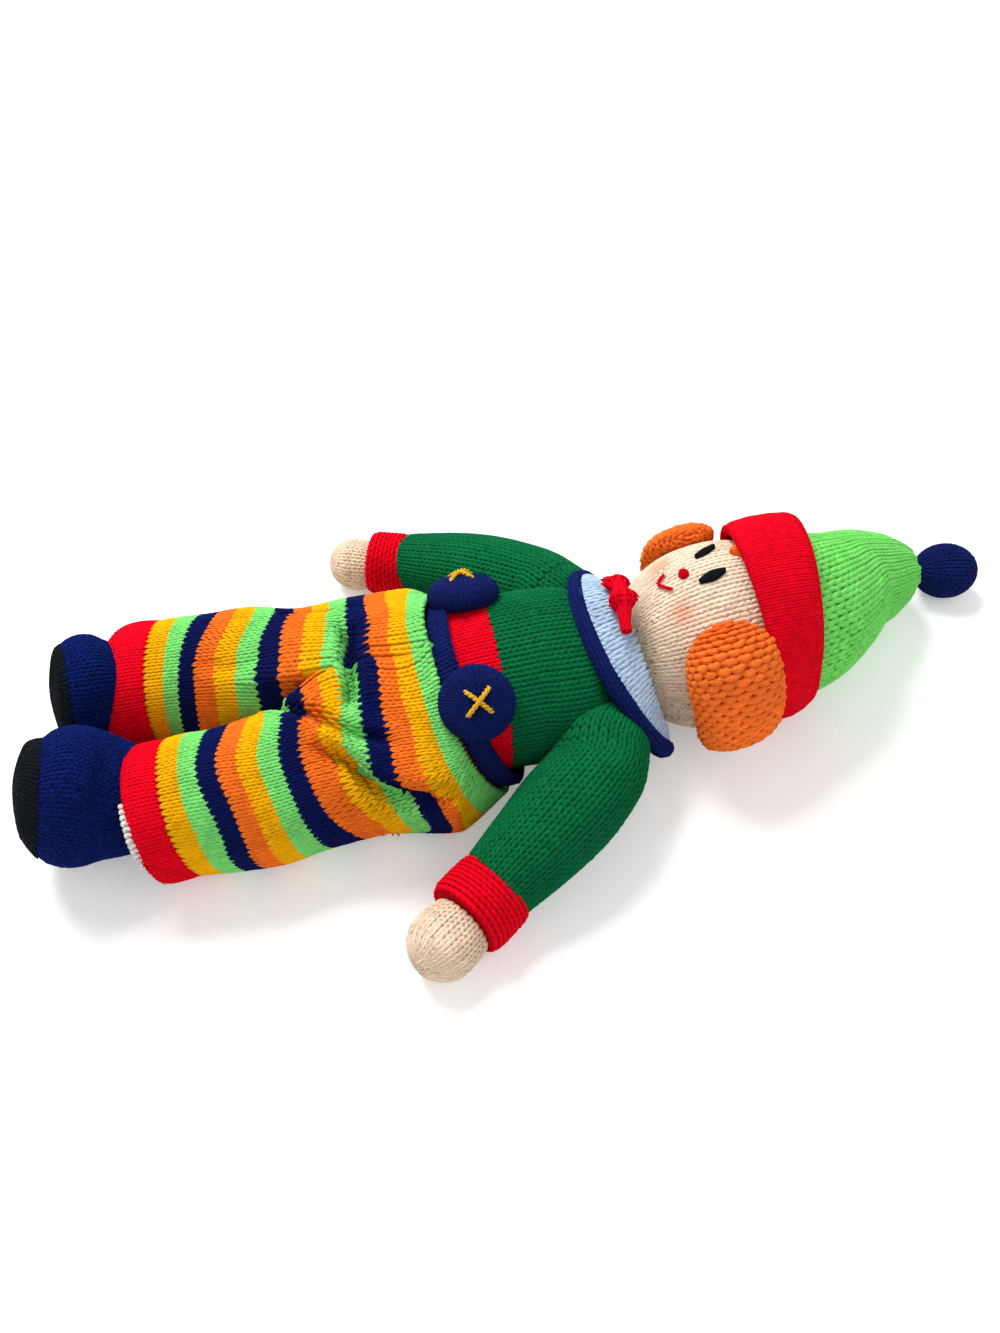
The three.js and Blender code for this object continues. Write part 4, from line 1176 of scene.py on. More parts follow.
        # each stitch's shade is a random tone times the painted fold shade
        shade = (1 + self.shade_spread * jitter[:, 0]) * self.painted_shade_factor(here)
        made = mesh_object(f"{self.name}_places", here[keep], [])
        for name, kind, values in (
            ("turn", "FLOAT_VECTOR", turns), ("size", "FLOAT_VECTOR", size), ("shade", "FLOAT", shade)
        ):
            fill_attribute(made.data, name, kind, values[keep])
        if self.stripes:
            tint = STRIPE_COLOURS[np.repeat(np.asarray(self.stripes), counts)]
            fill_attribute(made.data, "tint", "FLOAT_COLOR", tint[keep])
        return made


@dataclass(frozen=True)
class HeadShape:
    """The head's egg shape round an axis that leaves the neck."""

    heading: float = 2.4
    pitch: float = 8.0
    half_length: float = 45.2
    centre: float = 43.0
    radius: float = 38.9
    start: float = 3.2
    face_turn: float = 7.5

    @property
    def along(self) -> np.ndarray:
        """Direction from the neck to the top of the head."""
        heading, pitch = math.radians(self.heading), math.radians(self.pitch)
        return np.array([
            math.cos(heading) * math.cos(pitch), math.sin(heading) * math.cos(pitch), math.sin(pitch),
        ])

    @property
    def across(self) -> np.ndarray:
        """Direction towards the doll's right."""
        return unit(np.cross(UP, self.along))

    @property
    def upward(self) -> np.ndarray:
        """Direction out of the face."""
        return np.cross(self.along, self.across)

    def axis(self, distance: float) -> np.ndarray:
        """A place on the axis."""
        return NECK + self.along * distance

    def radius_at(self, distance: np.ndarray | float) -> np.ndarray:
        """Radius at a distance from the neck."""
        off = (np.asarray(distance, float) - self.centre) / self.half_length
        return self.radius * np.sqrt(np.maximum(0.0004, 1 - off**2))

    def on_skin(self, distance: float, degrees: float, above: float = 0.0) -> tuple[np.ndarray, np.ndarray]:
        """A place on the head, and the direction out of it.

        Args:
            distance: Distance from the neck along the axis.
            degrees: Angle from the middle of the face, towards the doll's right.
            above: Height above the skin.

        Returns:
            The place and the direction.
        """
        angle = math.radians(degrees + self.face_turn)
        radial = self.across * math.sin(angle) + self.upward * math.cos(angle)
        off = (distance - self.centre) / self.half_length
        slope = self.radius / self.half_length * off / math.sqrt(max(0.02, 1 - off**2))
        outward = unit(radial + self.along * slope)
        return self.axis(distance) + radial * self.radius_at(distance) + outward * above, outward

    def surface(self) -> Surface:
        """The head's skin."""
        turn = np.linspace(0, 1, 60)
        first = math.acos((self.centre - self.start) / self.half_length)
        distance = self.centre - self.half_length * np.cos(first + (math.pi - first - 0.03) * turn)
        radius = self.radius_at(distance)[:, None]
        axis = NECK + self.along * distance[:, None]
        return Surface(rings_round(axis, self.across, self.upward, radius, radius, whole_turn(64)))


HEAD = HeadShape()


def yarn_piece(name: str, strands: Strands, finish: Finish, body: str, node: str) -> None:
    """Makes a piece of bare strands of yarn.

    Args:
        name: Name of the piece.
        strands: Axis and radii of each strand.
        finish: Its yarn.
        body: Body that it rides on.
        node: CAD node that it stands for.
    """
    sides = 8
    net, faces = strands_net(strands, sides)
    piece = mesh_object(name, net, faces)
    lay_uv(piece.data, [
        (side / sides, mark)
        for centres, _ in strands for mark in marks_along(centres) for side in range(sides)
    ])
    fill_attribute(piece.data, "shade", "FLOAT", np.ones(len(net)))
    piece.data.materials.append(YarnMaterial(finish).make())
    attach(piece, body)
    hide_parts(node)
    log.info("%s: %d faces", name, len(faces))


@dataclass
class Body:
    """Sweater, belt and the lower body inside the trousers."""

    belt_hem: float = -33.0  # the belt reaches this far into the waistband
    sweater_start: float = -5.4
    top: float = 45.0
    hips_start: float = -39.1
    gap: float = 0.4  # between two pieces of the body
    # Rows of (x, half width, top, bottom)
    profile: Rows = (
        (-43.1, 34, 52, 4.1), (-31.1, 36, 55, 4.1), (-22.9, 38.5, 61.5, 4.1), (8.6, 39.6, 65.6, 4.1),
        (15.6, 40, 66, -0.5), (30, 38, 64.5, -0.5), (39.6, 28, 58, 2), (45.6, 21, 52, 6),
    )

    def slice(self, start: float, end: float, widen: float = 0.0) -> Surface:
        """The body's skin between two places on its length.

        Args:
            start: Place nearer to the shoes.
            end: Place nearer to the head.
            widen: How far the skin is moved out.

        Returns:
            The skin.
        """
        x = np.linspace(start, end, 40)
        rows = smooth(self.profile, x)
        angle = whole_turn(72)
        wide, top, low = (rows[:, k, None] for k in range(3))
        y = (wide + widen) * np.cos(angle)
        z = (top + low) / 2 + ((top - low) / 2 + widen) * np.sin(angle)
        return Surface(np.stack([np.broadcast_to(x[:, None], y.shape), y, z], -1))

    def build(self) -> None:
        """Makes the body's pieces."""
        Knitted("sweater", self.slice(self.sweater_start, self.top), GREEN, "torso", Gauge(4.1, 2.7, 0.75),
                ("sweater_body",), filled=True).stuffed()
        Knitted("belt", self.slice(self.belt_hem, self.sweater_start - self.gap), RED, "torso",
                Gauge(3.0, 2.4, 0.55), ("body_belt",), filled=True).stuffed()
        Knitted("lower_body", self.slice(self.hips_start, self.belt_hem - self.gap, -1), CALICO, "torso",
                Gauge(4.2, 2.8, 0.8), ("body_hips",)).stuffed()
        for side in SIDES:
            Button(side).build(self)


@dataclass
class Button:
    """Domed, crocheted button with a gold cross stitch."""

    side: str
    radius: float = 14.4
    cross: float = 13.0
    cross_thick: float = 0.95
    cross_height: float = 14.0
    spot: dict[str, tuple[float, float]] = sided((-17.5, -26.0), (-13.0, 25.0))
    # Rows of (share of the radius, height) from the back to the middle of the dome
    dome: Rows = (
        (0.72, 0.6), (0.92, 1.6), (1.0, 4.2), (1.0, 6.4), (0.93, 8.8), (0.77, 10.9), (0.52, 12.2),
        (0.25, 12.7), (0.05, 12.9),
    )

    def frame(self, body: Body) -> tuple[np.ndarray, np.ndarray]:
        """Where the button sits on the body.

        Args:
            body: The body.

        Returns:
            The foot of the button, and its three axes, the outward one second.
        """
        x, y = self.spot[self.side]
        wide, top, _ = smooth(body.profile, np.array([x]))[0]
        high = (top + 0.5) / 2
        angle = math.asin(y / wide)
        outward = unit(np.array([0, math.sin(angle) * high, math.cos(angle) * wide]))
        foot = np.array([x, y, top - high + high * math.cos(angle)]) - outward
        turn = Vector((0, 1, 0)).rotation_difference(Vector(outward)).to_matrix()
        return foot, np.array(turn).T

    def build(self, body: Body) -> None:
        """Makes the button and its cross.

        Args:
            body: The body that it lies on.
        """
        foot, (first, outward, second) = self.frame(body)
        rows = np.array(self.dome)
        angle = whole_turn(72)
        ring = first * np.cos(angle)[:, None] + second * np.sin(angle)[:, None]
        points = foot + ring[None] * (rows[:, 0] * self.radius)[:, None, None] + outward * rows[:, 1:2, None]
        dome = Surface(points).evenly(0.9)
        Knitted(f"button_{self.side}", dome, NAVY, "torso", Gauge(2.7, 2.1, 0.8)).stuffed()
        bars = []
        for degrees in (45, 135):
            line = first * math.cos(math.radians(degrees)) + second * math.sin(math.radians(degrees))
            spots = []
            for share in (-0.56, -0.5, -0.25, 0, 0.25, 0.5, 0.56):
                dip = 2.6 * abs(share * 2) ** 2.4 + (1.6 if abs(share) > 0.52 else 0.0)
                height = self.cross_height - dip + degrees / 150
                spots.append(foot + line * share * self.cross + outward * height)
            bars += twisted(spots, self.cross_thick)
        yarn_piece(f"cross_{self.side}", bars, GOLD, "torso", f"button_cross_{self.side}")


@dataclass(frozen=True)
class Crease:
    """A fold in the trousers: a groove along a line of (x, y) places, and cloth that swells over it.

    Attributes:
        line: Places that the groove passes.
        depth: Depth of the groove.
        width: Half width of the groove.
        swell: Height of the swelling.
        reach: How far from the groove the swelling is highest.
        side: Side of the line that swells, 1 on its left and -1 on its right.
    """

    line: tuple[tuple[float, float], ...]
    depth: float
    width: float
    swell: float
    reach: float
    side: float

    def measure(self, points: np.ndarray) -> tuple[np.ndarray, np.ndarray]:
        """Where points lie from the groove.

        Args:
            points: Points of the cloth.

        Returns:
            Distances, negative on the side that doesn't swell, and shares of the groove's length.
        """
        line = Route([np.array([x, y, 0.0]) for x, y in self.line])
        marks = np.linspace(0, line.length, 40)
        spots, headings = line.at(marks)
        flat = points[..., None, :2] - spots[:, :2]
        away = np.linalg.norm(flat, axis=-1)
        nearest = away.argmin(-1)
        pick = np.take_along_axis(flat, nearest[..., None, None], -2)[..., 0, :]
        heading = headings[nearest][..., :2]
        turn = np.sign(heading[..., 0] * pick[..., 1] - heading[..., 1] * pick[..., 0]) * self.side
        distance = np.take_along_axis(away, nearest[..., None], -1)[..., 0]
        return distance * turn, marks[nearest] / line.length

    def lift(self, points: np.ndarray) -> np.ndarray:
        """How far each point moves out of the cloth.

        Args:
            points: Points of the cloth.

        Returns:
            One distance for each point, negative in the groove.
        """
        distance, share = self.measure(points)
        fade = ease(0, 0.22, share) * ease(0, 0.22, 1 - share)
        groove = -self.depth * np.exp(-((distance / self.width) ** 2))
        far = distance / self.reach
        return (groove + np.where(far > 0, self.swell * far * np.exp(1 - far), 0.0)) * fade


TUCK = Crease(
    ((-84, -31), (-73, -36.8), (-66.5, -41.5), (-60, -48.0), (-51.4, -52.4), (-40.8, -55), (-27, -54)),
    6.5, 2.6, 3.6, 5.0, 1.0,
)
CREASES = (
    TUCK,
    Crease(
        ((-104, -1), (-96, -6), (-87.1, -14.5), (-77.1, -21.9), (-70.6, -26.8), (-64.8, -31.5),
         (-57.4, -34.3), (-47, -41)), 7.0, 2.6, 1.2, 4.5, -1.0,
    ),
    Crease(((-66, 30), (-62, 18), (-61.4, 2), (-63.4, -10), (-66, -25)), 6.0, 3.2, 4.0, 7.0, 1.0),
    Crease(((-94, 38.8), (-84, 39.2), (-70, 38), (-52.9, 35.4)), 3.0, 2.8, 2.2, 5.0, -1.0),
    Crease(((-122, 20), (-114, 17), (-104, 14), (-92, 14)), 1.5, 3.0, 1.2, 5.0, -1.0),
)


def fold_lift(points: np.ndarray) -> np.ndarray:
    """How far the folds of the trousers move each point out, measured from above."""
    return sum(crease.lift(points) for crease in CREASES)


def painted_fold_shade(points: np.ndarray) -> np.ndarray:
    """Painted shade in the folds: share of the yarn's colour left at each point, darkest deep in a groove on
    the trousers' upper side.
    """
    return 1 - 0.42 * ease(1.2, 5.0, -fold_lift(points)) * ease(36, 44, points[..., 2])


@dataclass
class Trousers:
    """Striped trousers: two halves, each from the waist to its own cuff, with cuffs and a waistband."""

    hip_x: float = -66.0
    hip_z: float = 27.3
    spacing: float = 60.0
    waist: float = -31.2
    fork: float = -76.0  # where the stripes of the legs join those of the seat
    seam_end: float = -84.0
    seat_y: float = 28.0  # sideways place of each half's axis in the seat
    seat_rise: float = 1.5
    overlap: float = 1.8  # how far each half reaches past the seam
    rings: int = 112
    around: int = 120
    hips: tuple[float, float] = (-106, -68)  # between them the leg goes over into the seat
    rim: tuple[float, float] = (-62, -36)  # between them the cloth comes to lean as the waistband does
    rim_middle: float = 31.0
    roundness: tuple[float, float] = (2.8, 2.1)  # power of the seat's outline below and above its middle
    # Rows of (height, length along x, length along y, phase)
    ripples: Rows = ((0.5, 6.1, 8.7, 0.0), (0.45, 9.3, -5.9, 1.2), (1.1, 13.0, 19.0, 2.2))
    drape: Rows = ((1.0, 30.0, 8.5, 0.0), (0.5, -17.0, 4.6, 0.0))  # these draw it along the body
    blend_x: tuple[float, float] = (-48.0, -92.0)
    cuff_x: dict[str, float] = sided(-136.2, -139.2)
    cuff_long: dict[str, float] = sided(13.8, 17.0)
    cuff_size: tuple[float, float, float] = (26.1, 26.4, 26.9)  # half width, half height, middle's height
    lining_size: tuple[float, float] = (25.3, 25.6)  # radius, height of the middle
    heading: dict[str, float] = sided(-1.5, 2.0)
    rows_in_stripe: int = 3
    tuck: float = 8.0
    tuck_soft: float = 3.5
    # Where the tuck starts, has grown full, starts to fade and ends
    tuck_x: Row = (-84, -64, -44, -24)
    drape_x: Row = (-134, -118, -46, -34)  # the same for the drape
    shear_pull: float = 8.0
    # Rows of (x, half width, half height) of each leg
    leg_sizes: dict[str, Rows] = sided(
        ((-138, 26.4, 26.6), (-124, 27.8, 28.6), (-108, 28.8, 29.0), (-96, 28.0, 27.4), (-82, 26.0, 26.2),
         (-30, 29, 26.6)),
        ((-138, 25.8, 26.2), (-102, 27.0, 26.2), (-66, 28.4, 26.4), (-30, 29, 26.6)),
    )
    # Rows of (x, half width, half height) of the seat on each side
    seat_sizes: dict[str, Rows] = sided(
        ((-100, 57, 29.5), (-82, 53.8, 29.5), (-66, 55.6, 29.5), (-48, 58.5, 29.3), (-38, 52, 30),
         (-31.2, 45, 31.5)),
        ((-100, 56, 29.5), (-84, 56, 29.5), (-42, 55.5, 29.3), (-31.2, 45, 31.5)),
    )
    # Rows of (x, how far the side lies nearer to the head than the top, how much more so across the leg)
    leans: dict[str, Rows] = sided(
        ((-152, 4.4, 0), (-138, 5, 0), (-110, 6, 0), (-80, 8.5, 0), (-60, 10.5, 0), (-31.2, 13.5, 0)),
        ((-154, 0, 0.3), (-139, 0, 0.16), (-118, 0, 0.3), (-105, 0, 0.27), (-85, 0, 0.15),
         (-66, 0.6, 0.08), (-45, 9.5, 0), (-31.2, 13.5, 0)),
    )
    # Rows of (x, half width, top) of the waistband
    waist_sizes: Rows = ((-32, 41.8, 59.2), (-22, 43.6, 65.2))
    waist_long: float = 8.2
    slant: float = 0.44
    waist_top: float = 61.5
    wall: float = 3.0
    hem_wall: float = 2.6
    flat: tuple[float, float] = (0.19, 0.107)  # size of each half before it is sewn, in metres

    def row_marks(self, side: str, count: int) -> np.ndarray:
        """How far each ring lies along the stripes, alike on both halves from the waist to the fork.

        Args:
            side: Left or right.
            count: Count of rings.

        Returns:
            One value for each ring, from the cuff to the waist.
        """
        whole = (self.waist - self.cuff_x["left"] + self.waist - self.cuff_x["right"]) / 2
        seat = self.waist - self.fork
        x = np.linspace(self.cuff_x[side], self.waist, count)
        leg = (x - x[0]) / (self.fork - x[0]) * (whole - seat)
        return np.where(x < self.fork, leg, whole - (self.waist - x))

    def leg_centre(self, side: str, x: np.ndarray | float) -> np.ndarray | float:
        """Sideways place of the leg's axis."""
        return SIDES[side] * self.spacing / 2 + (self.hip_x - x) * math.tan(math.radians(self.heading[side]))

    def half(self, side: str) -> Surface:
        """The cloth of one half.

        Args:
            side: Left or right.

        Returns:
            Its surface, from the cuff to the waist.
        """
        sign = SIDES[side]
        share = np.linspace(0, 1, self.rings)[:, None]
        x = self.cuff_x[side] + (self.waist - self.cuff_x[side]) * share
        angle = whole_turn(self.around)[None]
        up, out = np.sin(angle), np.cos(angle)
        hips = ease(*self.hips, x)
        leg_y = np.where(x < self.hip_x, self.leg_centre(side, x), sign * self.spacing / 2)
        centre_y = leg_y * (1 - hips) + sign * self.seat_y * hips
        centre_z = self.hip_z + self.seat_rise * hips
        sizes = smooth(self.leg_sizes[side], x[:, 0])
        leg = 1 / np.sqrt((out / sizes[:, :1]) ** 2 + (up / sizes[:, 1:2]) ** 2)
        seat = self.seat_reach(side, x, centre_y, centre_z, out, up)
        reach = leg * (1 - hips) + seat * hips
        y = centre_y + reach * out
        z = np.broadcast_to(centre_z + reach * up, y.shape)
        rim = ease(*self.rim, x)
        rise = up * (1 - rim) + (z / self.rim_middle - 1) * rim
        points = np.stack([x + self.leaning(side, x, y - centre_y, rise), y, z], -1)
        return self.crumpled(Surface(self.tucked(points) if side == "left" else points))

    def leaning(self, side: str, x: np.ndarray, across: np.ndarray, up: np.ndarray) -> np.ndarray:
        """How far each place of the cloth is pulled along the body.

        Args:
            side: Left or right.
            x: Places along the body.
            across: Sideways distances from the half's axis.
            up: Upward parts of the directions from it, 1 at the top.

        Returns:
            The shifts towards the head.
        """
        rows = smooth(self.leans[side], x[:, 0])
        lean, shear = rows[:, :1], rows[:, 1:2]
        return lean * (1 - up) + shear * across - self.shear_pull * shear

    def tucked(self, points: np.ndarray) -> np.ndarray:
        """The near thigh's cloth drawn on towards the head below the tuck, so that the stripes break there.

        Args:
            points: Points of the cloth.

        Returns:
            The points after it.
        """
        below = ease(-self.tuck_soft, self.tuck_soft, -TUCK.measure(points)[0])
        x = points[..., 0]
        shifted = points.copy()
        start, full, last, end = self.tuck_x
        shifted[..., 0] += self.tuck * below * ease(start, full, x) * ease(end, last, x)
        return shifted

    def seat_reach(
        self, side: str, x: np.ndarray, cy: np.ndarray, cz: np.ndarray, out: np.ndarray, up: np.ndarray
    ) -> np.ndarray:
        """Distance from a half's axis to the seat's outline, in every direction.

        Args:
            side: Left or right.
            x: Places along the body.
            cy: Sideways places of the axis.
            cz: Heights of the axis.
            out: Sideways parts of the directions.
            up: Upward parts of the directions.

        Returns:
            The distances.
        """
        wide = smooth(self.seat_sizes[side], x[:, 0])
        half_wide, half_high = wide[:, :1], wide[:, 1:2]
        shape = np.broadcast(x, out).shape
        low, high = np.zeros(shape), np.full(shape, 90.0)
        for _ in range(24):
            middle = (low + high) / 2
            y, z = cy + middle * out, cz + middle * up - half_high
            power = np.where(z < 0, *self.roundness)
            inside = (np.abs(y) / half_wide) ** power + (np.abs(z) / half_high) ** power < 1
            low, high = np.where(inside, middle, low), np.where(inside, high, middle)
        inward = np.maximum(-out * SIDES[side], 1e-4)
        plane = (np.abs(cy) + self.overlap) / inward
        soft = 0.25  # how round the corner is where the outline meets the seam
        shares = (np.exp(-np.minimum(distance, 200) / soft) for distance in (low, plane))
        return -soft * np.log(sum(shares))

    def crumpled(self, surface: Surface) -> Surface:
        """The cloth with its folds and small waves.

        Args:
            surface: The cloth before it.

        Returns:
            The cloth after it.
        """
        points = surface.points
        facing = surface.facing_up()
        x, y = points[..., 0], points[..., 1]
        loose = ease(-140, -120, x) * (0.35 + 0.65 * facing)
        formed = surface.moved(fold_lift(points) * facing + waves(self.ripples, x, y) * loose).softened(2)
        start, full, last, end = self.drape_x
        held = ease(start, full, x) * ease(end, last, x)
        formed.points[..., 0] += waves(self.drape, x, y) * facing * held
        return formed

    def cuff(self, side: str) -> Surface:
        """The red cuff at the end of a leg, with a rolled rim at both edges.

        Args:
            side: Left or right.

        Returns:
            Its skin.
        """
        start, end = self.cuff_x[side] - 0.4, self.cuff_x[side] - self.cuff_long[side]
        share = np.array([0.02, 0.0, 0.06, 0.25, 0.5, 0.75, 0.93, 1.0, 0.99])
        draw = np.array([-2.2, -0.6, 0.1, 0.6, 0.9, 0.9, 0.3, -0.7, -2.4])
        x = (start + (end - start) * share)[:, None]
        angle = whole_turn(80)[None]
        wide, high, middle = self.cuff_size
        centre_y = self.leg_centre(side, x)
        y = centre_y + (wide + draw[:, None]) * np.cos(angle)
        z = middle - 1.3 * share[:, None] ** 2 + (high + draw[:, None]) * np.sin(angle)
        lean = self.leaning(side, x, y - centre_y, np.sin(angle))
        return Surface(np.stack([x + lean, y, z], -1)).evenly(1.2)

    def lining(self) -> Tube:
        """The little of the white lining that shows past the near cuff's rim."""
        x = self.cuff_x["left"] - self.cuff_long["left"] - 0.3
        lean = self.leans["left"][0][1]
        radius, middle = self.lining_size
        places = []
        for turn in np.radians(np.linspace(112, 172, 9)):
            y = self.leg_centre("left", x) + radius * math.cos(turn)
            places.append(np.array([x + lean * (1 - math.sin(turn)), y, middle + radius * math.sin(turn)]))
        return Tube(places, [(0, 0.5), (0.3, 1.0), (0.8, 1.0), (1, 0.4)], around=12)

    def waistband(self) -> Surface:
        """The navy band that stands off the body."""
        share = np.array([0.03, 0.0, 0.12, 0.5, 0.88, 1.0, 0.97])[:, None]
        draw = np.array([-1.6, 0.0, 1.0, 1.4, 1.0, 0.0, -1.6])[:, None]
        x = self.waist + 0.4 + self.waist_long * share
        angle = whole_turn(96)[None]
        rows = smooth(self.waist_sizes, x[:, 0])
        wide, top = rows[:, :1], rows[:, 1:2]
        y = (wide + draw) * np.cos(angle)
        z = top / 2 + (top / 2 + draw) * np.sin(angle)
        lean = self.slant * self.waist_top / 2 * (1 - np.sin(angle))
        return Surface(np.stack([x + lean, y, z], -1)).evenly(1.2)

    def build(self) -> None:
        """Makes the trousers."""
        numbers = [k // self.rows_in_stripe % 4 for k in range(STRIPE_COUNT * self.rows_in_stripe)]
        hems = Knitted("waistband", self.waistband(), NAVY, "torso", Gauge(3.4, 2.5, 0.8),
                       ("trouser_waistband",), wall=self.hem_wall).build()
        start, end = (tuple(layout.place(np.array([x, 0, self.hip_z]))) for x in self.blend_x)
        for side in SIDES:
            half = self.half(side)
            # the folds of each half get painted shade: the yarn is coloured darker deep in a groove
            cloth = Knitted(
                f"trousers_{side}", half, STRIPES, "", Gauge(3.3, 2.45, 0.7),
                (f"trouser_leg_{side}", "trouser_seat")[: 2 if side == "left" else 1], numbers,
                wall=self.wall, apart=True, marks=self.row_marks(side, len(half.points)), painted_shade_map=painted_fold_shade,
                hidden=lambda p: (p[:, 1] * SIDES[side] < 0.2) & (p[:, 0] > self.seam_end),
            ).build()
            cuff = Knitted(f"trouser_cuff_{side}", self.cuff(side), RED, f"leg_{side}", Gauge(2.8, 2.2, 0.5),
                           wall=self.hem_wall).build()
            if side == "left":
                cuff += Knitted("sock_edge", self.lining().surface(), WHITE, "leg_left",
                                Gauge(2.2, 2.0, 0.9, Stitch.MOSS), ()).build()
            for piece in cloth:
                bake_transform(piece)


@dataclass
class Leg:
    """Stuffed leg, shoe and sole of one side."""

    side: str
    hip_x: float = -66.0
    hip_y: float = 30.0
    height: float = 27.5
    heading: dict[str, float] = sided(-1.5, 2.0)  # degrees
    length: dict[str, float] = sided(69.0, 72.5)
    inner_sizes: Rows = ((0, 20.0, 17.0), (0.3, 20.5, 18.5), (0.8, 17.5), (1, 15.5))
    press: float = 1.4  # how much deeper the folds are in the leg than in the cloth
    room: float = 2.0  # between the leg and the cloth above it
    shoe_start: float = 6.0  # distance from the leg's end
    shoe_long: dict[str, float] = sided(43.0, 34.0)
    shoe_y: float = 24.8
    shoe_turn: dict[str, float] = sided(2.0, 1.2)  # how soon the shoe's axis has reached its own place
    toe_rise: dict[str, float] = sided(11.0, 8.0)
    toe_bend: dict[str, float] = sided(1.5, 1.1)
    sole_deep: dict[str, float] = sided(8.0, 5.0)
    # Rows of (share of the length, half width, half height) of each shoe
    shoe_sizes: dict[str, Rows] = sided(
        ((0, 15, 15), (0.22, 20.5, 19.8), (0.4, 22.8, 24.4), (0.6, 24.4, 29.8), (0.76, 24.2, 31.4),
         (0.9, 22.4, 29.4), (1, 19.2, 25.4)),
        ((0, 15, 15), (0.29, 17.5, 19.6), (0.48, 19.0, 24.6), (0.64, 21.6, 27.8), (0.78, 22.4, 28.2),
         (0.9, 21.2, 27.0), (1, 18.6, 24.4)),
    )
    # Rows of (share of the depth, how much narrower and lower than the shoe's end) of the sole
    sole_draw: Rows = ((0, -0.5, -0.7), (0.3, 1.2, 1.4), (0.65, 4.0, 5.2), (1, 8.5, 10.8))
    sole_shift: tuple[float, float, float] = (0.12, 0.25, 0.5)  # drawn towards the toe as it swells out

    def on_leg(self, distance: float) -> np.ndarray:
        """A place on the leg's axis.

        Args:
            distance: Distance from the hip.

        Returns:
            The place.
        """
        turn = math.radians(self.heading[self.side])
        y = SIDES[self.side] * self.hip_y + distance * math.sin(turn)
        return np.array([self.hip_x - distance * math.cos(turn), y, self.height])

    def on_shoe(self, part: float) -> np.ndarray:
        """A place on the shoe's axis.

        Args:
            part: Share of the shoe's length.

        Returns:
            The place.
        """
        x, y, z = self.on_leg(self.length[self.side] + self.shoe_start)
        y += (SIDES[self.side] * self.shoe_y - y) * min(1.0, part * self.shoe_turn[self.side])
        rise = self.toe_rise[self.side] * part ** self.toe_bend[self.side]
        return np.array([x - part * self.shoe_long[self.side], y, z + rise])

    def inner(self) -> Surface:
        """The leg's skin, pressed in where the trousers' folds are."""
        path = [self.on_leg(distance) for distance in (-22, 0, 40, self.length[self.side] + 4)]
        skin = Tube(path, self.inner_sizes, start_round=20).surface()
        above = skin.facing_up()
        return skin.moved(np.minimum(fold_lift(skin.points) * self.press, 0) * above - self.room * above)

    def sole(self, path: list[np.ndarray]) -> Surface:
        """The sole's skin.

        Args:
            path: Places on the shoe's axis.

        Returns:
            The skin.
        """
        ends, headings = Route(path).at(np.array([1e3]))
        heading, toe_end = headings[0], ends[0]
        deep = self.sole_deep[self.side]
        _, wide, high = self.shoe_sizes[self.side][-1]
        rows = [(place, wide - less, high - lower) for place, less, lower in self.sole_draw]
        skin = Tube([toe_end + heading * d for d in (-0.8, deep / 2, deep)], rows, end_round=4).surface()
        far = ((skin.points - toe_end) @ heading)[..., None]
        return Surface(skin.points + far * np.array(self.sole_shift))

    def build(self) -> None:
        """Makes the leg's pieces."""
        side, body = self.side, f"leg_{self.side}"
        path = [self.on_shoe(part) for part in (0, 0.5, 1)]
        shoe = Tube(path, self.shoe_sizes[side]).surface()
        Knitted(f"inner_leg_{side}", self.inner(), CALICO, body, Gauge(6.2, 4.2, 0.8)).stuffed()
        Knitted(f"shoe_{side}", shoe, BLUE, body, Gauge(3.5, 2.5, 0.7), filled=True).stuffed()
        Knitted(f"shoe_sole_{side}", self.sole(path), BLACK, body, Gauge(3.2, 2.2, 0.7)).stuffed()


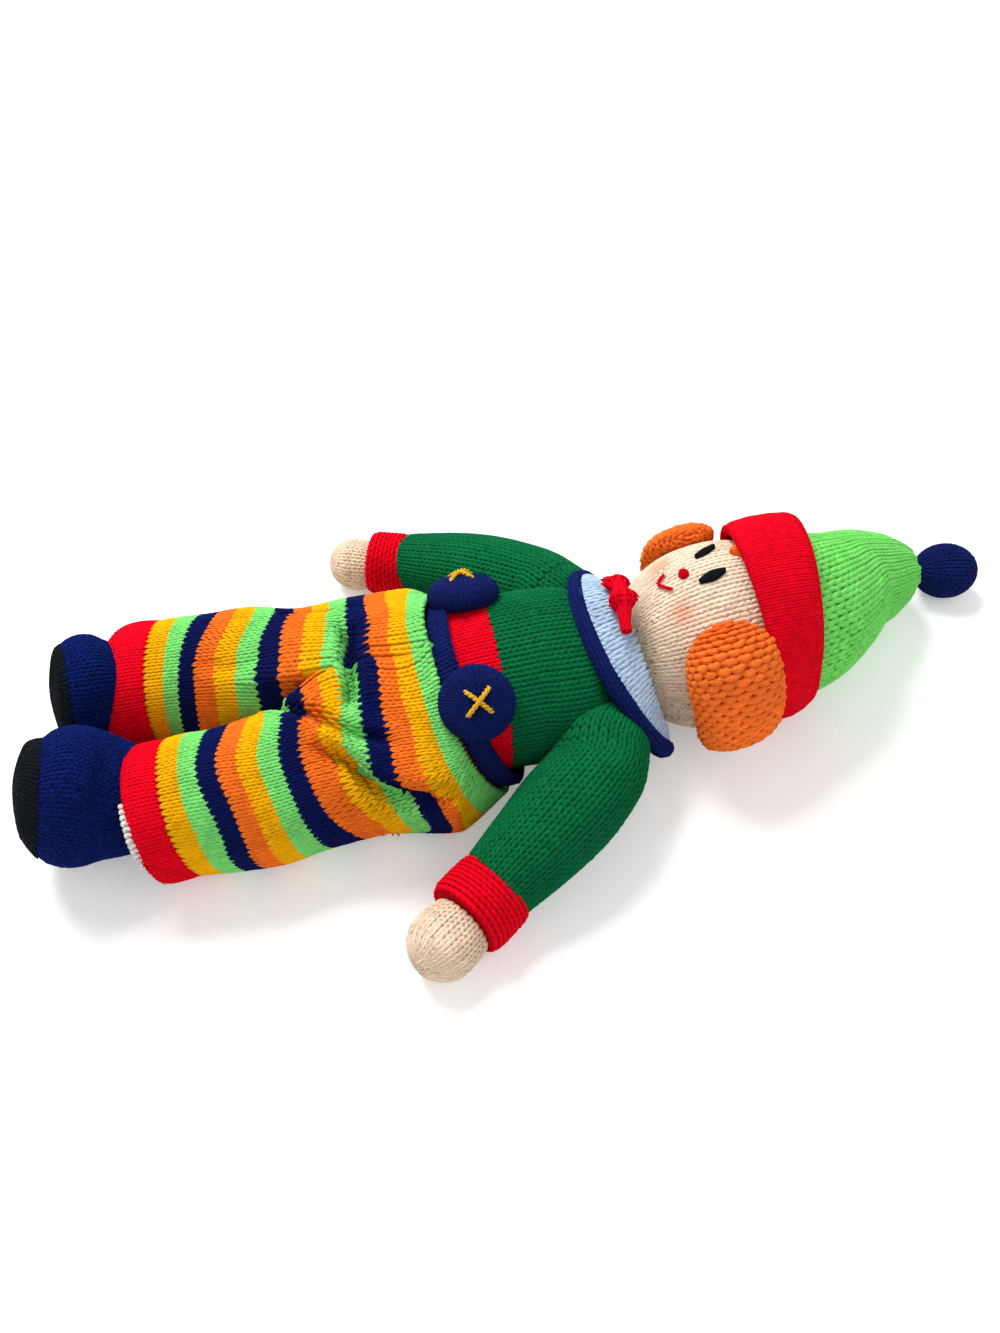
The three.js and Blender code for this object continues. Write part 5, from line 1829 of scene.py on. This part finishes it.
@dataclass
class Arm:
    """Sleeve, cuff, mitten hand and the sewn pad in the shoulder of one side."""

    side: str
    shoulder: tuple[float, float, float] = (30.0, 41.0, 33.0)
    shoulder_radius: float = 18.6
    slim: dict[str, float] = sided(0.0, 1.5)
    aim: dict[str, float] = sided(37, 20)  # degrees
    hand_long: dict[str, float] = sided(24.0, 20.5)
    tie_sizes: Rows = ((0, 8.6), (1, 8.6))
    cuff_radius: float = 16.2
    cuff_draw: Rows = ((0, 1.2), (0.12, 0), (0.88, 0), (1, 1.4))  # (share, how much narrower)
    palm: float = 13.8
    # Rows of (distance from the shoulder along the body, distance outwards, height) down each arm
    bends: dict[str, Rows] = sided(
        ((4.7, 9.1, 31), (27.2, 26.7, 25), (50, 41.4, 17.5)),
        ((7, 11.5, 31), (31, 33.5, 25), (57.8, 54.3, 16.5)),
    )

    def past(self, wrist: np.ndarray, distance: float, z: float) -> np.ndarray:
        """A place past the wrist.

        Args:
            wrist: The sleeve's end.
            distance: Distance from it along the hand.
            z: Height of the place.

        Returns:
            The place.
        """
        aim = math.radians(self.aim[self.side])
        return np.array([
            wrist[0] - distance * math.cos(aim), wrist[1] + SIDES[self.side] * distance * math.sin(aim), z,
        ])

    def build(self) -> None:
        """Makes the arm's pieces."""
        side, body, sign, slim = self.side, f"arm_{self.side}", SIDES[self.side], self.slim[self.side]
        x, y, z = self.shoulder
        shoulder = np.array([x, sign * y, z])
        path = [shoulder + np.array([11.2, -sign * 14.9, 0]), shoulder]
        path += [np.array([x - along, sign * (y + out), high]) for along, out, high in self.bends[side]]
        rows = [(0, 18.6), (0.22, 18.6), (0.55, 20 - slim), (0.8, 18 - slim), (1, 15.6 - slim)]
        sleeve = Tube(path, rows, start_round=self.shoulder_radius)
        radius, palm = self.cuff_radius - slim, self.palm - slim
        cuff_z, hand_z = radius - 0.5, palm - 0.5
        spots = ((0.4, cuff_z + 0.6), (9.7, cuff_z), (19.3, cuff_z))
        cuff = Tube([self.past(path[-1], *spot) for spot in spots],
                    [(place, radius - less) for place, less in self.cuff_draw])
        long = self.hand_long[side]
        hand = Tube([self.past(path[-1], 19.6 + d, hand_z) for d in (0, long / 2, long)],
                    [(0, palm - 1), (0.3, palm), (1, palm)], end_round=palm)
        tie = Tube([np.array([x, sign * out, z]) for out in (16, 20, 25)], self.tie_sizes)
        ribs = Gauge(3.0, 2.0, 0.7, Stitch.GARTER, offset=True)
        Knitted(f"sleeve_{side}", sleeve.surface(), GREEN, body, Gauge(4.1, 2.7, 0.75),
                filled=True).stuffed()
        Knitted(f"sleeve_cuff_{side}", cuff.surface(), RED, body, ribs, filled=True).stuffed()
        Knitted(f"hand_{side}", hand.surface(), CREAM, body, Gauge(3.4, 2.4, 0.6), filled=True).stuffed()
        Knitted(f"arm_tie_{side}", tie.surface(), CALICO, "torso", Gauge(4.2, 2.8, 0.8)).stuffed()


@dataclass
class Collar:
    """Pale ribbed collar with a thick navy edge, and the red bow on it."""

    chest_top: float = 65.5
    chest_low: float = 3.5
    wide: float = 42.0
    band: float = 15.0
    slope: float = 0.66
    furthest: float = 57.0
    edge_radius: float = 3.0
    flat: tuple[float, float] = (0.23, 0.013)  # size of the band before it is sewn, in metres
    # Rows of the bow's parts: places that each passes, then (share, half width, half height)
    bow: tuple[tuple[Rows, Rows], ...] = (
        (((46.4, 11.8, 70.6), (46.0, 8.0, 73.0), (45.4, 3.5, 74.6), (45.2, -1.5, 74.8), (44.6, -6.0, 74.0),
          (43.6, -11.4, 72.6), (43.2, -16.4, 71.0)),
         ((0, 2.8, 2.2), (0.14, 4.6, 3.4), (0.32, 2.8, 2.6), (0.5, 5.2, 4.0), (0.66, 3.0, 2.8),
          (0.84, 2.2, 2.0), (1, 2.0, 1.9))),
        (((45.0, 5, 73.6), (43.4, 8.6, 73.0), (41.8, 11.2, 71.6)),
         ((0, 2.4, 2.2), (0.7, 2.4, 2.2), (1, 1.6, 1.6))),
        (((45.4, 0, 75.0), (47.6, -1.6, 75.2), (49.8, -3.0, 74.0)),
         ((0, 2.8, 2.4), (0.6, 2.8, 2.4), (1, 2.0, 2.0))),
        (((45.0, -2, 74.6), (42.6, -3.4, 73.8), (40.8, -4.4, 72.4)),
         ((0, 2.6, 2.2), (0.6, 2.4, 2.0), (1, 1.5, 1.5))),
    )

    def lines(self) -> tuple[np.ndarray, np.ndarray]:
        """Outer and inner edge of the band, point by point."""
        angle = whole_turn(120)
        right, front = np.sin(angle), np.cos(angle)
        top, low = self.chest_top, self.chest_low
        outer_z = (top + low) / 2 + (top - low) / 2 * front
        outer_x = np.minimum(30 + self.slope * (top - outer_z), self.furthest)
        outer = np.stack([outer_x, self.wide * right, outer_z], -1)
        far = ease(0.1, 0.6, right)  # drawn off the far cheek, to leave it room when the head tilts
        inner = np.stack([
            outer_x + self.band * np.maximum(0.36 + 0.69 * front, 0.1) - 5 * far,
            (self.wide - 12 + 2 * np.abs(right) + 2.5 * far) * right,
            (outer_z - NECK[2]) * 0.96 + NECK[2] + np.maximum(front, 0) * 4.5,
        ], -1)
        return outer, inner

    def build(self) -> None:
        """Makes the collar and the bow."""
        outer, inner = self.lines()
        share = np.linspace(0, 1, 10)[:, None, None]
        swell = 1.2 * np.sin(math.pi * share) * np.array([0.3, 0, 1.0])
        band = Surface(outer * (1 - share) + inner * share + swell)
        made = Knitted("collar", band.moved(1.2), PALE_BLUE, "torso", Gauge(3.9, 2.8, 0.7), wall=2.6,
                       apart=True).build()
        along = unit(np.roll(outer, -1, 0) - np.roll(outer, 1, 0))
        across = unit(np.cross(along, unit(outer * np.array([0, 1, 1]) - np.array([0, 0, NECK[2]]))))
        radius = self.edge_radius
        ring = rings_round(outer, across, np.cross(across, along), radius, radius, whole_turn(24))
        edge = Knitted("collar_edge", Surface(ring, loop=True), NAVY, "torso", Gauge(3.2, 2.4, 0.8)).build()
        for number, (path, sizes) in enumerate(self.bow):
            form = Tube([np.array(place, float) for place in path], sizes, 1.6, 1.4, around=24)
            Knitted(f"bow_{number}", form.surface(), RED, "torso", Gauge(2.2, 1.8, 0.28),
                    () if number else ("bow_tie",)).stuffed()


@dataclass
class Hat:
    """Rolled red brim, lime crown that flops to the side, and the pompom."""

    start: float = 57.5
    length: float = 26.0
    radius: float = 42.7
    brim_taper: float = 9.0  # how much lower the brim's back edge is underneath
    rib_depth: float = 1.3
    crown_path: Rows = (
        (124, 7, 41), (141, 15, 37.5), (158, 26, 32), (174, 33, 26.5), (186, 38.2, 22), (195, 41.5, 18.6),
        (201.6, 43.2, 16.8),
    )
    # Rows of (share of the length, radius)
    crown_sizes: Rows = (
        (0, 36.2), (0.18, 34.2), (0.34, 30), (0.5, 25.8), (0.65, 23.2), (0.79, 19.6), (0.9, 15.2), (1, 10.5),
    )
    tip: Row = (200.6, 43.6, 16.4)
    pompom: Row = (221.8, 42.5, 13.3)
    pompom_half: float = 15.4
    pompom_radius: float = 13.2
    tie_radius: float = 1.8

    def brim(self) -> Surface:
        """The brim's skin, rolled in at both edges."""
        share = np.array([0.06, 0.01, 0.0, 0.04, 0.12, 0.35, 0.65, 0.88, 0.97, 1.0, 0.99])[:, None]
        draw = np.array([-5.0, -3.6, -2.2, -1.0, 0.0, 0.9, 0.9, 0.0, -1.6, -3.2, -5.5])
        angle = whole_turn(96)
        under = np.maximum(0, -np.cos(angle)) ** 1.5
        radius = (self.radius + draw)[:, None] - self.brim_taper * share**1.5 * under
        across, upward = radius * np.cos(angle), radius * np.sin(angle)
        front = self.start - (across * -0.09 + upward * 0.1)
        back = self.start + self.length - (across * -0.2 + upward * 0.01)
        centre = NECK + HEAD.along * (front + (back - front) * share)[..., None]
        centre[..., 2] = self.radius + 0.3
        return Surface(centre + HEAD.across * across[..., None] + HEAD.upward * upward[..., None]).evenly(1.5)

    def gathered(self, surface: Surface) -> Surface:
        """The crown with the ribs that its gathered end has.

        Args:
            surface: The crown without them.

        Returns:
            The crown with them.
        """
        rings, around = surface.points.shape[:2]
        share = np.linspace(0, 1, rings)[:, None]
        rib = np.abs(np.cos(whole_turn(around)[None] * 8)) ** 0.7 - 0.8
        return surface.moved(self.rib_depth * ease(0.45, 0.95, share) * rib)

    def ball(self) -> Tube:
        """The pompom, with the short tie that holds it to the hat's tip."""
        tip, middle = np.array(self.tip), np.array(self.pompom)
        away = float(np.linalg.norm(middle - tip))
        length = away + self.pompom_half
        rows = []
        for distance in np.linspace(0, length, 30):
            off = (distance - away) / self.pompom_half
            size = max(self.tie_radius, self.pompom_radius * math.sqrt(max(0.0, 1 - off**2)))
            rows.append((distance / length, size))
        return Tube([tip, middle, middle + unit(middle - tip) * self.pompom_half], rows)

    def build(self) -> None:
        """Makes the hat."""
        path = [HEAD.axis(61), *(np.array(place, float) for place in self.crown_path)]
        crown = Tube(path, self.crown_sizes, end_round=7, around=96)
        Knitted("hat_brim", self.brim(), RED, "head", Gauge(2.5, 2.1, 0.42), wall=3.4).stuffed()
        # the crown's cloth between the stitches gets deeper painted shade, so that its stitches stand out
        Knitted("hat_crown", self.gathered(crown.surface()), LIME, "head", Gauge(4.5, 2.9, 0.95), filled=True,
                shade=0.5).stuffed()
        Knitted("pompom", self.ball().surface(), NAVY, "pompom", Gauge(3.6, 2.5, 0.85),
                filled=True).stuffed()


@dataclass
class Hair:
    """Puffs of moss stitch at both sides of the head, and the small lock under the brim."""

    thick: float = 15.0
    squareness: float = 4.5
    length: dict[str, float] = sided(35.5, 31.0)
    place: dict[str, float] = sided(37.0, 41.5)  # distance from the neck
    first: dict[str, float] = sided(41, 33)  # degrees from the face's middle
    last: float = 131.0
    # Rows of (share of the length, thickness, width, shift towards the hat) down each puff
    swell: dict[str, Rows] = sided(
        ((0, 0.36, 0.5, -0.01), (0.2, 0.46, 0.52, -0.01), (0.6, 0.54, 0.5, 0.01), (1, 0.46, 0.42, 0.02)),
        ((0, 0.36, 0.4, 0.0), (0.25, 0.42, 0.5, 0.0), (0.6, 0.5, 0.5, 0.0), (1, 0.45, 0.4, 0.0)),
    )

    def puff(self, side: str) -> Surface:
        """One puff, wide along the head and bent round it.

        Args:
            side: Left or right.

        Returns:
            Its skin.
        """
        sign, long, place = SIDES[side], self.length[side], self.place[side]
        path = []
        for degrees in np.linspace(self.first[side], self.last, 5):
            angle = math.radians(sign * degrees + HEAD.face_turn)
            radial = HEAD.across * math.sin(angle) + HEAD.upward * math.cos(angle)
            path.append(HEAD.axis(place) + radial * (HEAD.radius_at(place) + self.thick * 0.3))
        route = Route(path)
        share = 0.5 - 0.5 * np.cos(np.linspace(0.06, math.pi - 0.06, 70))
        edge = np.sqrt(np.maximum(0.0, 1 - (np.abs(share - 0.5) * 2) ** self.squareness))
        centre, along = route.at(share * route.length)
        outward = unit(np.cross(along, HEAD.along)) * sign
        sizes = smooth(self.swell[side], share)
        thick = (self.thick * sizes[:, 0] * edge)[:, None]
        wide = (long * sizes[:, 1] * edge)[:, None]
        shift = long * sizes[:, 2:3] * HEAD.along
        return Surface(rings_round(centre + shift, HEAD.along, outward, wide, thick, whole_turn(64)))

    def build(self) -> None:
        """Makes the hair."""
        for side in SIDES:
            Knitted(f"hair_{side}", self.puff(side), ORANGE, "head",
                    Gauge(4.7, 2.5, 1.05, Stitch.MOSS, fill=0.9, offset=True), filled=True).stuffed()
        spots = [HEAD.on_skin(distance, 5, 1.0)[0] for distance in (52, 57, 62)]
        lock = Tube(spots, [(0, 0.8, 1.0), (0.5, 3.8, 2), (1, 6.2, 2.6)], start_round=1.5, around=24)
        Knitted("forelock", lock.surface(), ORANGE, "head", Gauge(3.0, 2.0, 0.8)).stuffed()


@dataclass
class Face:
    """Head, neck and the sewn eyes, nose and mouth."""

    # Each eye from its lower to its upper end, as (distance from the neck, degrees from the face's middle)
    eyes: dict[str, tuple[tuple[float, float], tuple[float, float]]] = sided(
        ((35.2, -12.2), (46.4, -9.4)), ((38.6, 8.2), (48.0, 14.6))
    )
    eye_wide: dict[str, float] = sided(4.7, 3.7)
    # The same two numbers for each bend of the mouth
    mouth: Rows = ((24.8, 5.1), (22.6, 3.4), (21.4, 0.6), (23.0, -5.2), (25.0, -9.5))
    nose_place: tuple[float, float] = (31.2, -2.2)
    nose_radius: float = 1.95
    nose_deep: tuple[float, float] = (1.4, 2.4)  # how far it reaches into the skin and out of it
    neck_radius: float = 13.6

    def eye(self, side: str) -> Strands:
        """Satin stitches that fill one eye's leaf shape.

        Args:
            side: Left or right.

        Returns:
            Axis and radii of each stitch.
        """
        (low, low_turn), (high, high_turn) = self.eyes[side]
        strands = []
        for share in np.linspace(0.05, 0.95, 15):
            wide = self.eye_wide[side] * (1 - abs(share * 2 - 1) ** 1.6) ** 0.8
            distance = low + (high - low) * share
            turn = low_turn + (high_turn - low_turn) * share
            reach = math.degrees(wide / 2 / float(HEAD.radius_at(distance)))
            spots = [
                HEAD.on_skin(distance, turn + reach * across, 1.5 - 1.3 * abs(across) ** 3)[0]
                for across in np.linspace(-1, 1, 7)
            ]
            strands.append((np.array(spots), np.full((7, 2), 0.62)))
        return strands

    def build(self) -> None:
        """Makes the head and what is sewn on it."""
        # the face's cloth between the stitches gets only a little painted shade
        Knitted("head", HEAD.surface(), FACE, "head", Gauge(3.9, 2.7, 0.26), shade=0.92).stuffed()
        for side in SIDES:
            yarn_piece(f"sewn_eye_{side}", self.eye(side), BLACK, "head", f"eye_{side}")
        line = [HEAD.on_skin(distance, degrees, 1.2)[0] for distance, degrees in self.mouth]
        yarn_piece("sewn_mouth", twisted(line, 0.75, pitch=3.0), RED, "head", "mouth")
        middle, outward = HEAD.on_skin(*self.nose_place, 0.6)
        back, front = self.nose_deep
        ball = Tube([middle - outward * back, middle, middle + outward * front],
                    [(0, self.nose_radius), (1, self.nose_radius)], back, front, around=24)
        Knitted("sewn_nose", ball.surface(), RED, "head", Gauge(1.6, 1.2, 0.35), ("nose",)).stuffed()
        size = self.neck_radius
        neck = Tube([NECK + np.array([shift * size, 0, 0]) for shift in (-1, 0, 1)], [(0, size), (1, size)],
                    size, size)
        Knitted("neck", neck.surface(), CREAM, "neck_ball", Gauge(4.0, 2.8, 0.7)).stuffed()


class Stage:
    """Floor, lights and camera."""

    azimuth = -10.9
    elevation = 49.3
    roll = -0.4
    distance = 451.4
    target = (-0.9, 11.2, 30.0)
    focal_pixels = 1070.3
    picture_height = 1333.0

    def build(self) -> None:
        """Sets up the studio."""
        self.floor()
        self.lamps()
        self.camera()
        bpy.context.scene.view_settings.view_transform = "Standard"

    def floor(self) -> None:
        """A pale floor that looks white to the camera and keeps the doll's shadow."""
        mesh = bpy.data.meshes.new("floor")
        far = 40.0
        mesh.from_pydata([(-far, -far, 0), (far, -far, 0), (far, far, 0), (-far, far, 0)], [], [(0, 1, 2, 3)])
        floor = linked("floor", mesh)
        material = bpy.data.materials.new("white_sheet")
        nodes = Nodes.emptied(material)
        paper = nodes.add("ShaderNodeBsdfDiffuse", in_Color=(0.93, 0.93, 0.93, 1.0))
        place = nodes.add("ShaderNodeTexCoord")
        away = nodes.add("ShaderNodeVectorMath", operation="LENGTH", in_0=place.outputs["Object"])
        bright = nodes.add("ShaderNodeMapRange", in_Value=away.outputs["Value"], in_From_Min=0.5,
                           in_From_Max=2.5, in_To_Min=0.3, in_To_Max=0.62)
        glow = nodes.add("ShaderNodeEmission", in_Color=(1.0, 1.0, 1.0, 1.0), in_Strength=bright.outputs[0])
        both = nodes.add("ShaderNodeAddShader", in_0=paper.outputs[0], in_1=glow.outputs[0])
        mixed = nodes.add("ShaderNodeMixShader", in_0=self.seen(nodes), in_1=paper.outputs[0],
                          in_2=both.outputs[0])
        nodes.add("ShaderNodeOutputMaterial", in_Surface=mixed.outputs[0])
        mesh.materials.append(material)

    @staticmethod
    def seen(nodes: Nodes) -> bpy.types.NodeSocket:
        """What tells where the camera, a reflection or a refraction looks.

        Args:
            nodes: The nodes to add to.

        Returns:
            A socket that is 1 there.
        """
        path = nodes.add("ShaderNodeLightPath").outputs
        either = nodes.add("ShaderNodeMath", operation="MAXIMUM", in_0=path["Is Camera Ray"],
                           in_1=path["Is Glossy Ray"])
        any_of_them = nodes.add("ShaderNodeMath", operation="MAXIMUM", in_0=either.outputs[0],
                                in_1=path["Is Transmission Ray"])
        return any_of_them.outputs[0]

    def lamps(self) -> None:
        """A large soft lamp behind, a weak one in front and a plain world."""
        world = bpy.data.worlds.new("studio")
        bpy.context.scene.world = world
        nodes = Nodes.emptied(world)
        dim, white = (
            nodes.add("ShaderNodeBackground", in_Color=(1.0, 1.0, 1.0, 1.0), in_Strength=strength)
            for strength in (0.5, 1.0)
        )
        mixed = nodes.add("ShaderNodeMixShader", in_0=self.seen(nodes), in_1=dim.outputs[0],
                          in_2=white.outputs[0])
        nodes.add("ShaderNodeOutputWorld", in_Surface=mixed.outputs[0])
        for name, place, size, power in (
            ("key", (-0.35, 0.75, 1.25), 0.7, 23.0),
            ("fill", (0.5, -1.0, 1.3), 1.2, 5.0),
        ):
            light = bpy.data.lights.new(name, "AREA")
            light.size = size
            light.energy = power
            lamp = linked(name, light)
            lamp.location = place
            lamp.rotation_euler = (-Vector(place)).to_track_quat("-Z", "Y").to_euler()

    def camera(self) -> None:
        """The camera at the photograph's angle and distance."""
        azimuth, elevation = math.radians(self.azimuth), math.radians(self.elevation)
        level = math.cos(elevation)
        back = Vector((math.sin(azimuth) * level, -math.cos(azimuth) * level, math.sin(elevation)))
        right = Vector((0, 0, 1)).cross(back).normalized()
        up = back.cross(right)
        roll = math.radians(self.roll)
        right, up = right * math.cos(roll) + up * math.sin(roll), up * math.cos(roll) - right * math.sin(roll)
        data = bpy.data.cameras.new("camera")
        data.sensor_width = 36.0
        data.lens = 36.0 * self.focal_pixels / self.picture_height
        data.clip_start = 0.01
        camera = linked("camera", data)
        place = Vector(layout.place(np.array(self.target))) + back * (self.distance * MM)
        camera.matrix_world = Matrix.Translation(place) @ Matrix((right, up, back)).transposed().to_4x4()
        bpy.context.scene.camera = camera


def main() -> None:
    """Builds the doll and its stage."""
    logging.basicConfig(level=logging.INFO, format="%(message)s")
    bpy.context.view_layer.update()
    for part in (Body(), Trousers(), Leg("left"), Leg("right"), Arm("left"), Arm("right"), Collar(), Face(),
                 Hair(), Hat()):
        part.build()
        log.info("built %s", type(part).__name__)
    for stitch in Stitch:
        shape = bpy.data.objects.get(stitch.value)
        if shape:
            bpy.data.objects.remove(shape)
    Stage().build()


if __name__ == "__main__":
    main()
